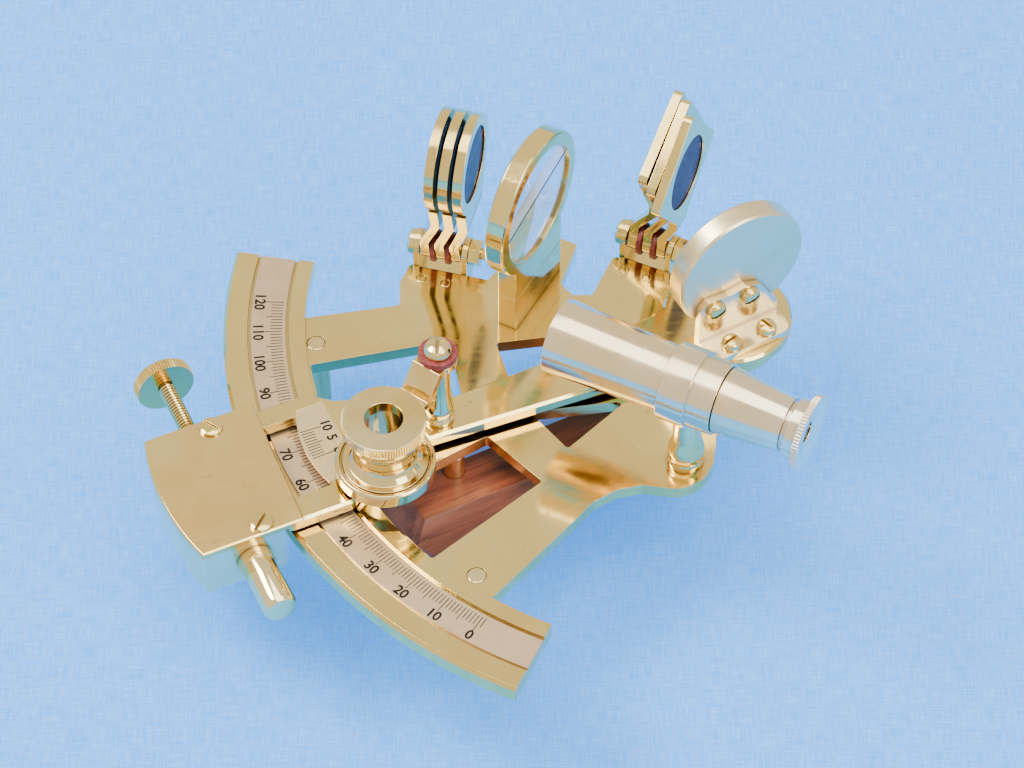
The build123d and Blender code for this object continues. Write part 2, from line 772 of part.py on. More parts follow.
tangent_profile = [(0, -block_half_width + 1.0), (tangent_pin_radius, -block_half_width + 1.0)]
tangent_profile.append((tangent_pin_radius, far_wall + face_clearance))
tangent_profile += thread_profile(far_wall + face_clearance, near_wall - 0.8)
tangent_profile.append((tangent_neck_radius, near_wall - 0.6))
tangent_profile.append((tangent_neck_radius, block_half_width + face_clearance))
tangent_profile += thread_profile(block_half_width + face_clearance, tangent_knob_start)
tangent_profile.append((tangent_neck_radius, tangent_knob_start))
tangent_profile.append((tangent_neck_radius, tangent_knob_start + 1.0))
tangent_profile.append((0, tangent_knob_start + 1.0))
knob_spot = tangent_origin + tangent_direction * tangent_knob_start
with BuildPart() as tangent_screw:
    add(turned(tangent_profile, tangent_origin, tangent_direction))
    add(knurled(tangent_knob_radius, tangent_knob_teeth, tangent_knob_thickness, knob_spot, tangent_direction))
save(tangent_screw.part, "tangent_screw")

# The travelling nut rides the thread inside the block.
shoe_hole = tangent_thread_radius + running_clearance
with BuildPart() as clamp_shoe:
    with BuildSketch(Plane(origin=tangent_origin, x_dir=up, z_dir=tangent_direction)):
        Rectangle(2 * shoe_half_height, 2 * shoe_half_width)
        Circle(shoe_hole, mode=Mode.SUBTRACT)
    extrude(amount=shoe_half_length, both=True)
save(clamp_shoe.part, "clamp_shoe")

cylinder_end = block_half_width + cylinder_length
cylinder_profile = [
    (0, block_half_width),
    (cylinder_collar_radius, block_half_width),
    (cylinder_collar_radius, block_half_width + cylinder_collar_length),
    (cylinder_radius, block_half_width + cylinder_collar_length),
    (cylinder_radius, cylinder_end - cylinder_end_round),
    (cylinder_radius - 0.3 * cylinder_end_round, cylinder_end - 0.3 * cylinder_end_round),
    (cylinder_radius - cylinder_end_round, cylinder_end),
    (0, cylinder_end),
]
clamp_cylinder = turned(cylinder_profile, tangent_origin, tangent_direction * -1)
save(clamp_cylinder, "clamp_cylinder")

# ---------------------------------------------------------------- index mirror
mirror_centre_height = arm_top + index_mirror_clear + index_mirror_radius
mirror_back_centre = mirror_spot(index_mirror_shift, mirror_back_y, mirror_centre_height)
glass_radius = index_mirror_radius - mirror_rim
glass_floor = index_mirror_depth - mirror_lip - mirror_glass_thickness
case_profile = [
    (0, 0),
    (index_mirror_radius - 0.6, 0),
    (index_mirror_radius, 0.6),
    (index_mirror_radius, index_mirror_depth - 0.4),
    (index_mirror_radius - 0.4, index_mirror_depth),
    (glass_radius - mirror_lip, index_mirror_depth),
    (glass_radius - mirror_lip, index_mirror_depth - mirror_lip),
    (glass_radius, index_mirror_depth - mirror_lip),
    (glass_radius, glass_floor),
    (0, glass_floor),
]
case_body = turned(case_profile, mirror_back_centre, mirror_facing)
for screw_along, screw_rise in mirror_back_screw_places:
    screw_spot = mirror_spot(screw_along, mirror_back_y, arm_top + screw_rise)
    case_body = drilled(
        case_body, screw_shank_radius + fit_clearance, mirror_back_screw_depth, screw_spot, mirror_facing)
save(case_body, "index_mirror_case")

glass_back = mirror_back_centre + mirror_facing * glass_floor
index_mirror_glass = disc(glass_radius, mirror_glass_thickness, glass_back, mirror_facing)
save(index_mirror_glass, "index_mirror_glass")

bracket_back_y = mirror_back_y - mirror_bracket_thickness
bracket_back = mirror_spot(0, bracket_back_y, arm_top)
bracket_left = mirror_bracket_outline[0][0]
bracket_right = mirror_bracket_outline[-1][0]
with BuildPart() as index_mirror_bracket:
    with BuildSketch(Plane(origin=bracket_back, x_dir=mirror_right, z_dir=mirror_facing * -1)):
        add(rounded_outline(mirror_bracket_outline, mirror_bracket_round))
    extrude(amount=-mirror_bracket_thickness)
    with BuildSketch(level_plane(arm_top, index_mirror_angle)):
        with Locations(((bracket_left + bracket_right) / 2, mirror_back_y - mirror_bracket_reach / 2)):
            Rectangle(bracket_right - bracket_left, mirror_bracket_reach)
    extrude(amount=mirror_bracket_thickness)
    foot_corners = index_mirror_bracket.edges().filter_by(Axis.Z).sort_by(Axis.Y)[:2]
    fillet(foot_corners, mirror_bracket_corner)
    with BuildSketch(level_plane(arm_top, index_mirror_angle)):
        for screw_along, screw_back in mirror_foot_screw_places:
            with Locations((screw_along, mirror_back_y + screw_back)):
                Circle(screw_shank_radius + fit_clearance)
    extrude(amount=mirror_bracket_thickness, mode=Mode.SUBTRACT)
bracket_body = index_mirror_bracket.part
mirror_screws = []
for (screw_along, screw_rise), slot_turn in zip(mirror_back_screw_places, mirror_back_screw_slots):
    screw_spot = mirror_spot(screw_along, bracket_back_y, arm_top + screw_rise)
    bracket_body = drilled(
        bracket_body, screw_shank_radius + fit_clearance, mirror_bracket_thickness, screw_spot, mirror_facing)
    back_reach = mirror_bracket_thickness + mirror_back_screw_depth
    mirror_screws.append(domed_screw(screw_spot, mirror_facing * -1, slot_turn, back_reach, mirror_screw_head))
foot_reach = mirror_bracket_thickness + mirror_foot_screw_depth
for (screw_along, screw_back), slot_turn in zip(mirror_foot_screw_places, mirror_foot_screw_slots):
    screw_spot = mirror_spot(screw_along, mirror_back_y + screw_back, arm_top + mirror_bracket_thickness)
    mirror_screws.append(domed_screw(screw_spot, up, slot_turn, foot_reach, mirror_screw_head))
save(bracket_body, "index_mirror_bracket")
save_group(mirror_screws, "index_mirror_screws")

arm_body = index_arm.part
for screw_along, screw_back in mirror_foot_screw_places:
    screw_spot = mirror_spot(screw_along, mirror_back_y + screw_back, arm_top)
    arm_body = drilled(arm_body, screw_shank_radius + fit_clearance, mirror_foot_screw_depth, screw_spot, down)
save(arm_body, "index_arm")

# ---------------------------------------------------------------- horizon mirror
horizon_right = direction_of(horizon_plane_angle)
horizon_facing = direction_of(horizon_plane_angle - 90)
horizon_front = Vector(*horizon_mirror_centre, horizon_mirror_height)
horizon_seat_radius = horizon_mirror_opening + mirror_lip + 0.4
ring_profile = [
    (horizon_mirror_opening, 0),
    (horizon_mirror_radius - 0.4, 0),
    (horizon_mirror_radius, 0.4),
    (horizon_mirror_radius, horizon_mirror_depth - 0.4),
    (horizon_mirror_radius - 0.4, horizon_mirror_depth),
    (horizon_seat_radius, horizon_mirror_depth),
    (horizon_seat_radius, horizon_front_lip),
    (horizon_mirror_opening, horizon_front_lip),
]
block_top = horizon_mirror_height - horizon_mirror_radius + horizon_block_overlap
horizon_back_direction = horizon_facing * -1
with BuildPart() as horizon_mirror_frame:
    with BuildSketch(upright_plane(horizon_front, horizon_facing)):
        with Locations((0, (block_top + horizon_foot_top) / 2 - horizon_mirror_height)):
            Rectangle(horizon_foot_length, block_top - horizon_foot_top)
        Circle(horizon_seat_radius, mode=Mode.SUBTRACT)
    extrude(amount=-horizon_mirror_depth)
    add(turned(ring_profile, horizon_front, horizon_back_direction))
save(horizon_mirror_frame.part, "horizon_mirror_frame")

horizon_glass_front = horizon_front + horizon_back_direction * horizon_front_lip
horizon_mirror_glass = disc(horizon_seat_radius, mirror_glass_thickness, horizon_glass_front, horizon_back_direction)
save(horizon_mirror_glass, "horizon_mirror_glass")

foot_origin = Vector(*horizon_mirror_centre, web_top)
with BuildPart() as horizon_mirror_foot:
    with BuildSketch(upright_plane(foot_origin, horizon_facing)):
        with Locations((0, horizon_foot_height / 2)):
            Rectangle(horizon_foot_length, horizon_foot_height)
    extrude(amount=-horizon_mirror_depth)
save(horizon_mirror_foot.part, "horizon_mirror_foot")

# ---------------------------------------------------------------- shades
hub_offsets = (-shade_hub_pitch, 0.0, shade_hub_pitch)
rivet_holes = []
bracket_rivets = []
shade_washers = []


def hub_and_stem(stem):
    """The hub and the upward widening stem of a shade frame, with the bolt at the origin."""
    foot_half, top_half, stem_top = stem
    with BuildSketch() as work:
        Circle(shade_hub_radius)
        Polygon((-foot_half, 0), (foot_half, 0), (top_half, stem_top), (-top_half, stem_top), align=None)
    return work.sketch


def shade_body(origin, along, hub, disc_shift, bend, rise, outline):
    """One shade frame: a hub on the bolt, a cranked stem and a plate that holds the glass."""
    half = shade_thickness / 2
    reach = rise + 2 * shade_glass_radius
    across = up.cross(along)
    side = Plane(origin=origin, x_dir=along, z_dir=along.cross(up))
    hub_face = Plane(origin=origin + along * (hub - half), x_dir=across, z_dir=along)
    plate_face = Plane(origin=origin + along * (disc_shift - half) + up * rise, x_dir=across, z_dir=along)
    with BuildPart() as work:
        with BuildSketch(side):
            with BuildLine():
                Polyline(
                    (hub - half, -reach), (hub + half, -reach), (hub + half, bend[0]),
                    (disc_shift + half, bend[1]), (disc_shift + half, reach), (disc_shift - half, reach),
                    (disc_shift - half, bend[1]), (hub - half, bend[0]), close=True,
                )
            make_face()
        extrude(amount=reach, both=True)
        with BuildSketch(Plane(origin=origin - along * reach, x_dir=across, z_dir=along)):
            add(outline)
        extrude(amount=2 * reach, mode=Mode.INTERSECT)
        with BuildSketch(plate_face):
            Circle(shade_glass_radius - shade_lip)
        extrude(amount=shade_thickness, mode=Mode.SUBTRACT)
        with BuildSketch(plate_face):
            Circle(shade_glass_radius)
        extrude(amount=shade_thickness - shade_lip_depth, mode=Mode.SUBTRACT)
        with BuildSketch(hub_face):
            Circle(shade_bolt_radius + running_clearance)
        extrude(amount=shade_thickness, mode=Mode.SUBTRACT)
    return work.part


def shade_set(name, place, angle, shift, pitch, rise, bend, outline, leans):
    """The bracket, bolt, nut, washers and three shades of one set."""
    along = direction_of(angle)
    outward = up.cross(along)
    bolt = Vector(*place, web_top + shade_bolt_height)
    floor = Vector(*place, plate_bottom - bracket_floor)
    ear_height = bolt.Z - floor.Z
    level = Plane(origin=floor, x_dir=along, z_dir=up)
    with BuildPart() as bracket:
        with BuildSketch(level):
            with Locations((0, (ear_half_width - bracket_foot_reach) / 2)):
                Rectangle(2 * ear_outer, ear_half_width + bracket_foot_reach)
        extrude(amount=bracket_floor)
        for ear_start in (-ear_outer, ear_inner):
            with BuildSketch(Plane(origin=floor + along * ear_start, x_dir=outward, z_dir=along)):
                with Locations((0, ear_height / 2)):
                    Rectangle(2 * ear_half_width, ear_height)
                with Locations((0, ear_height)):
                    Circle(ear_half_width)
                    Circle(shade_bolt_radius + fit_clearance, mode=Mode.SUBTRACT)
            extrude(amount=ear_thickness)
        with BuildSketch(level):
            for offset in rivet_offsets:
                with Locations((offset, -rivet_setback)):
                    Circle(rivet_radius + fit_clearance)
        extrude(amount=bracket_floor, mode=Mode.SUBTRACT)
    save(bracket.part, name + "_shade_bracket")
    rivet_length = web_thickness + bracket_floor
    rivet_profile = [
        (0, -rivet_length), (rivet_radius, -rivet_length), (rivet_radius, -rivet_bevel),
        (rivet_radius - rivet_bevel, 0), (0, 0),
    ]
    for offset in rivet_offsets:
        rivet_spot = Vector(*place, web_top) + along * offset - outward * rivet_setback
        rivet_holes.append(rivet_spot)
        bracket_rivets.append(turned(rivet_profile, rivet_spot, up))
    bolt_profile = [
        (0, -ear_outer - nut_thickness - bolt_end), (shade_bolt_radius, -ear_outer - nut_thickness - bolt_end),
        (shade_bolt_radius, ear_outer), (bolt_head_radius, ear_outer),
        (bolt_head_radius, ear_outer + bolt_head_height - 0.8),
        (bolt_head_radius - 1.0, ear_outer + bolt_head_height), (0, ear_outer + bolt_head_height),
    ]
    save(slotted(bolt_profile, bolt, along * -1, 40), name + "_shade_bolt")
    with BuildPart() as nut:
        with BuildSketch(Plane(origin=bolt + along * ear_outer, x_dir=outward, z_dir=along)):
            RegularPolygon(nut_flats_radius, 6, major_radius=False)
            Circle(shade_bolt_radius + fit_clearance, mode=Mode.SUBTRACT)
        extrude(amount=nut_thickness)
    save(nut.part, name + "_shade_nut")
    for middle in (-shade_hub_pitch / 2, shade_hub_pitch / 2):
        washer_start = bolt + along * (middle - fibre_washer_thickness / 2)
        washer = disc(fibre_washer_radius, fibre_washer_thickness, washer_start, along)
        shade_washers.append(drilled(
            washer, shade_bolt_radius + fit_clearance, fibre_washer_thickness, washer_start, along))
    turn_axis = Axis(bolt, along * -1)
    glass_setback = shade_thickness - shade_lip_depth - shade_glass_thickness
    for index, letter in enumerate("abc"):
        disc_shift = shift + (index - 1) * pitch
        body = shade_body(bolt, along, hub_offsets[index], disc_shift, bend, rise, outline)
        glass_start = bolt + along * (disc_shift - shade_thickness / 2 + glass_setback) + up * rise
        glass = disc(shade_glass_radius, shade_glass_thickness, glass_start, along)
        save(body.rotate(turn_axis, leans[index]), name + "_shade_frame_" + letter)
        save(glass.rotate(turn_axis, leans[index]), name + "_shade_glass_" + letter)


with BuildSketch() as round_shade:
    add(hub_and_stem(horizon_shade_stem))
    with Locations((0, horizon_shade_rise)):
        Circle(horizon_shade_radius)
with BuildSketch() as square_shade:
    add(hub_and_stem(index_shade_stem))
    with Locations(Location((0, index_shade_rise, 0), (0, 0, 45))):
        RectangleRounded(index_shade_side, index_shade_side, index_shade_corner)

shade_set(
    "horizon", horizon_bracket_place, horizon_bracket_angle, horizon_shade_shift, horizon_shade_pitch,
    horizon_shade_rise, horizon_shade_bend, round_shade.sketch, horizon_shade_lean)
shade_set(
    "index", index_bracket_place, index_bracket_angle, index_shade_shift, index_shade_pitch,
    index_shade_rise, index_shade_bend, square_shade.sketch, index_shade_lean)
save_group(bracket_rivets, "bracket_rivets")
save_group(shade_washers, "shade_washers")

frame_body = frame.part
for rivet_spot in rivet_holes:
    frame_body = drilled(frame_body, rivet_radius + fit_clearance, web_thickness, rivet_spot, down)
save(frame_body, "frame")

# ---------------------------------------------------------------- telescope
sight = direction_of(telescope_angle)
telescope_spot = Vector(*telescope_post_place, telescope_axis_height)
saddle_bottom = telescope_axis_height - telescope_collar_radius - telescope_saddle_drop
barrel_outline = [
    (0, telescope_rear),
    (telescope_rear_radius, telescope_rear),
    (telescope_rear_radius, telescope_collar_step),
    (telescope_collar_radius, telescope_collar_step),
    (telescope_collar_radius, telescope_collar_front),
    (telescope_middle_radius, telescope_collar_front),
    (telescope_front_radius, telescope_front - telescope_rim_length),
    (telescope_front_radius, telescope_front),
    (0, telescope_front),
]
tube_bore = draw_tube_radius + running_clearance
tube_front = telescope_rear + draw_tube_inside
lens_seat = telescope_front - telescope_seat_depth
bore_profile = [
    (0, telescope_rear), (tube_bore, telescope_rear), (tube_bore, lens_seat), (telescope_seat_radius, lens_seat),
    (telescope_seat_radius, telescope_front), (0, telescope_front),
]
with BuildPart() as telescope_barrel:
    add(turned(barrel_outline, telescope_spot, sight))
    with BuildSketch(Plane.XY.offset(saddle_bottom)):
        with Locations(telescope_post_place):
            Circle(telescope_saddle_radius)
    extrude(amount=telescope_middle_radius)
    add(turned(bore_profile, telescope_spot, sight), mode=Mode.SUBTRACT)
save(telescope_barrel.part, "telescope_barrel")


def lens(radius, thickness, edge, origin, direction):
    """A lens with two spherical faces, centred on the origin."""
    bulge = (thickness - edge) / 2
    sphere = (radius ** 2 + bulge ** 2) / (2 * bulge)
    half_turn = math.asin(radius / sphere) / 2
    middle = (sphere * math.sin(half_turn), thickness / 2 - sphere + sphere * math.cos(half_turn))
    side = square_to(direction)
    with BuildPart() as work:
        with BuildSketch(Plane(origin=origin, x_dir=side, z_dir=side.cross(direction))):
            with BuildLine():
                ThreePointArc((0, thickness / 2), middle, (radius, edge / 2))
                Line((radius, edge / 2), (radius, -edge / 2))
                ThreePointArc((radius, -edge / 2), (middle[0], -middle[1]), (0, -thickness / 2))
                Line((0, -thickness / 2), (0, thickness / 2))
            make_face()
        revolve(axis=Axis(origin, direction))
    return work.part


objective_spot = telescope_spot + sight * (lens_seat + objective_thickness / 2)
objective = lens(telescope_seat_radius, objective_thickness, objective_edge, objective_spot, sight)
save(objective, "telescope_objective_lens")

cone_front = telescope_rear - face_clearance
draw_profile = [
    (draw_tube_bore, tube_front),
    (draw_tube_radius, tube_front),
    (draw_tube_radius, cone_front),
    (draw_tube_cone_front, cone_front),
    (draw_tube_cone_rear, draw_tube_cone_end),
    (draw_tube_neck, draw_tube_cone_end),
    (draw_tube_neck, eyepiece_start - eyepiece_socket),
    (eye_lens_radius, eyepiece_start - eyepiece_socket),
    (eye_lens_radius, eyepiece_start - eyepiece_socket + eye_lens_thickness),
    (draw_tube_bore, eyepiece_start - eyepiece_socket + eye_lens_thickness),
]
save(turned(draw_profile, telescope_spot, sight), "telescope_draw_tube")

eye_lens_spot = telescope_spot + sight * (eyepiece_start - eyepiece_socket + eye_lens_thickness / 2)
eye_lens = lens(eye_lens_radius, eye_lens_thickness, eye_lens_thickness - 0.4, eye_lens_spot, sight)
save(eye_lens, "telescope_eye_lens")

rim_start = eyepiece_start - eyepiece_collar_length
cap_end = rim_start - eyepiece_thickness
cap_bore = [
    (0, cap_end), (eyepiece_hole_radius + 3.4, cap_end), (eyepiece_hole_radius, cap_end + 1.0),
    (eyepiece_hole_radius, eyepiece_start - eyepiece_socket),
    (draw_tube_neck, eyepiece_start - eyepiece_socket), (draw_tube_neck, eyepiece_start), (0, eyepiece_start),
]
with BuildPart() as telescope_eyepiece_cap:
    add(disc(eyepiece_collar_radius, eyepiece_collar_length, telescope_spot + sight * eyepiece_start, sight * -1))
    rim_spot = telescope_spot + sight * rim_start
    add(knurled(eyepiece_radius, eyepiece_teeth, eyepiece_thickness, rim_spot, sight * -1))
    add(turned(cap_bore, telescope_spot, sight), mode=Mode.SUBTRACT)
save(telescope_eyepiece_cap.part, "telescope_eyepiece_cap")

post_profile = [
    (0, web_top),
    (post_base_radius, web_top),
    (post_base_radius, web_top + post_steps[0]),
    (post_waist_radius, web_top + post_steps[1]),
    (post_base_radius, web_top + post_steps[2]),
    (post_base_radius - 0.2, web_top + post_steps[3]),
    (post_stem_radius, web_top + post_steps[4]),
    (post_stem_radius, saddle_bottom),
    (0, saddle_bottom),
]
save(turned(post_profile, Vector(*telescope_post_place, 0), up), "telescope_post")

# ---------------------------------------------------------------- magnifier
post_spot = place_in(arm_angle, *magnifier_post_place, 0)
lens_place = place_in(arm_angle, *magnifier_place, 0)
arm_plate_bottom = arm_top + magnifier_ring_rise
arm_plate_top = arm_plate_bottom + magnifier_arm_thickness
lifted_bottom = arm_plate_bottom + magnifier_arm_lift
lifted_top = arm_plate_top + magnifier_arm_lift
post_top = lifted_bottom - face_clearance
washer_top = lifted_top + magnifier_washer_thickness
screw_end = post_top - cap_screw_engagement
magnifier_post_profile = [
    (0, arm_bottom), (cap_screw_shank_radius, arm_bottom), (cap_screw_shank_radius, arm_top),
    (magnifier_post_radius, arm_top), (magnifier_post_radius, arm_top + magnifier_post_steps[0]),
    (magnifier_post_waist, arm_top + magnifier_post_steps[1]),
    (magnifier_post_radius, arm_top + magnifier_post_steps[2]),
    (magnifier_post_radius - 0.25, arm_top + magnifier_post_steps[3]),
    (magnifier_post_neck, arm_top + magnifier_post_steps[4]), (magnifier_post_neck, post_top),
    (cap_screw_shank_radius + fit_clearance, post_top), (cap_screw_shank_radius + fit_clearance, screw_end),
    (0, screw_end),
]
save(turned(magnifier_post_profile, post_spot, up), "magnifier_post")

washer = disc(magnifier_washer_radius, magnifier_washer_thickness, post_spot + up * lifted_top, up)
washer = drilled(washer, cap_screw_shank_radius + running_clearance, magnifier_washer_thickness,
                 post_spot + up * lifted_top, up)
save(washer, "magnifier_washer")

cap_seat = washer_top + face_clearance
cap_profile = [
    (0, screw_end), (cap_screw_shank_radius, screw_end), (cap_screw_shank_radius, cap_seat),
    (cap_screw_radius, cap_seat), (cap_screw_radius, cap_seat + 0.8),
    (cap_screw_radius * 0.8, cap_seat + 0.75 * cap_screw_height), (cap_screw_radius * 0.4, cap_seat + cap_screw_height),
    (0, cap_seat + cap_screw_height),
]
save(slotted(cap_profile, post_spot, up, 60), "magnifier_cap_screw")

reach = lens_place - post_spot
reach_direction = reach.normalized()
arm_far_end = reach.length + magnifier_arm_ring_radius
top_bend, foot_bend = magnifier_arm_bends
with BuildPart() as magnifier_arm:
    with BuildSketch(Plane(origin=post_spot, x_dir=reach_direction, z_dir=reach_direction.cross(up))):
        with BuildLine():
            Polyline(
                (-magnifier_washer_radius, lifted_top), (top_bend, lifted_top), (foot_bend, arm_plate_top),
                (arm_far_end, arm_plate_top), (arm_far_end, arm_plate_bottom),
                (foot_bend - magnifier_arm_bend_lag, arm_plate_bottom),
                (top_bend - magnifier_arm_bend_lag, lifted_bottom),
                (-magnifier_washer_radius, lifted_bottom), close=True,
            )
        make_face()
    extrude(amount=magnifier_arm_ring_radius, both=True)
    with BuildSketch(Plane(origin=post_spot, x_dir=reach_direction, z_dir=up)):
        with Locations((reach.length / 2, 0)):
            Rectangle(reach.length, 2 * magnifier_arm_half_width)
        Circle(magnifier_washer_radius)
        with Locations((reach.length, 0)):
            Circle(magnifier_arm_ring_radius)
            Circle(magnifier_spigot_radius, mode=Mode.SUBTRACT)
        Circle(cap_screw_shank_radius + running_clearance, mode=Mode.SUBTRACT)
    extrude(amount=lifted_top, mode=Mode.INTERSECT)
save(magnifier_arm.part, "magnifier_arm")

flange_bottom = arm_top + magnifier_flange_gap
flange_top = flange_bottom + magnifier_flange_height
lens_bottom = flange_bottom + 0.4
body_profile = [
    (magnifier_lens_radius, flange_bottom),
    (magnifier_flange_radius - 0.4, flange_bottom),
    (magnifier_flange_radius, flange_bottom + 0.4),
    (magnifier_flange_radius, flange_top - 0.5),
    (magnifier_flange_radius - 0.5, flange_top),
    (magnifier_flange_radius - 1.2, flange_top),
    (magnifier_flange_radius - 1.2, flange_top - 0.8),
    (magnifier_flange_radius - 1.8, flange_top - 0.8),
    (magnifier_flange_radius - 1.8, flange_top - 0.2),
    (magnifier_body_radius + 0.8, flange_top),
    (magnifier_waist_radius + 0.4, flange_top + 1.6),
    (magnifier_waist_radius, flange_top + 3.4),
    (magnifier_waist_radius + 0.2, flange_top + 6.0),
    (magnifier_body_radius, arm_plate_bottom - 1.0),
    (magnifier_body_radius, arm_plate_bottom),
    (magnifier_spigot_radius, arm_plate_bottom),
    (magnifier_spigot_radius, arm_plate_top),
    (magnifier_bore_radius, arm_plate_top),
    (magnifier_bore_radius, lens_bottom + magnifier_lens_thickness),
    (magnifier_lens_radius, lens_bottom + magnifier_lens_thickness),
]
save(turned(body_profile, lens_place, up), "magnifier_body")

eye_ring = knurled(magnifier_ring_radius, magnifier_teeth, magnifier_ring_height, lens_place + up * arm_plate_top, up)
eye_ring = drilled(eye_ring, magnifier_eye_radius, magnifier_ring_height, lens_place + up * arm_plate_top, up)
save(eye_ring, "magnifier_eye_ring")

lens_middle = lens_place + up * (lens_bottom + magnifier_lens_thickness / 2)
magnifier_lens = lens(magnifier_lens_radius, magnifier_lens_thickness, magnifier_lens_edge, lens_middle, up)
save(magnifier_lens, "magnifier_lens")
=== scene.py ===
"""Looks of a brass sextant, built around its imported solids.

The solids keep their shapes. They get softened edges, smooth shading and procedural finishes,
and new surfaces are added for what is cut or laid on them: the marks and figures of the scale and
the vernier, and the silvering of the horizon glass.
"""

import logging
import math
from dataclasses import dataclass, field
from enum import Enum

import bpy
import numpy as np
from mathutils import Matrix, Vector


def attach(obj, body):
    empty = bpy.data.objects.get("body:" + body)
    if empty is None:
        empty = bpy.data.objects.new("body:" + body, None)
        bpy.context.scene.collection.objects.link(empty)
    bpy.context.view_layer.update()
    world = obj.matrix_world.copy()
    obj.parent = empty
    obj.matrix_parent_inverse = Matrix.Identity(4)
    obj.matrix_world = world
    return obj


Triple = tuple[float, float, float]
Socket = bpy.types.NodeSocket
SceneObject = bpy.types.Object
Material = bpy.types.Material

MM = 0.001
# The wave texture turns through this many radians per unit of length and scale.
WAVE_UNIT = 20.0
# A stretch of the coordinates that leaves them as they are.
EVEN = (1.0, 1.0, 1.0)
# How far the lines' and the figures' filling stands above the metal, in millimetres.
LINE_LIFT = 0.01
FIGURE_LIFT = 0.02
# Every fifth and every tenth division has a longer line.
FIVE, TEN = 5, 10
# The colour painted into the thread's roots as shade.
ROOT_SHADE = (0.10, 0.055, 0.022)
# The colour that corners are darkened to: painted shade together with patina.
CORNER_SHADE_AND_PATINA = (0.17, 0.10, 0.04)
SPOTS = (0.42, 0.27, 0.10)

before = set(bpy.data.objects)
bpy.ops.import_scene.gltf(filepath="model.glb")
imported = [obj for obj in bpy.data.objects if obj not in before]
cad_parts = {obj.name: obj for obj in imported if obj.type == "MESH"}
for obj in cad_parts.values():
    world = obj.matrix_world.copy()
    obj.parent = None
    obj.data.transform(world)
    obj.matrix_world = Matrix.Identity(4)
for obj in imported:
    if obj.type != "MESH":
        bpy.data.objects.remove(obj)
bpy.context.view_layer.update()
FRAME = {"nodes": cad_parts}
log = logging.getLogger("sextant")


class Body(Enum):
    """The bodies that new pieces ride on."""

    FRAME = "frame_body"
    INDEX_ARM = "index_arm_body"


class Slot(Enum):
    """Two of the record's material slots, listed but not given to any piece."""

    SCALE = "scale_brass"
    HALF_SILVERED = "half_silvered_glass"


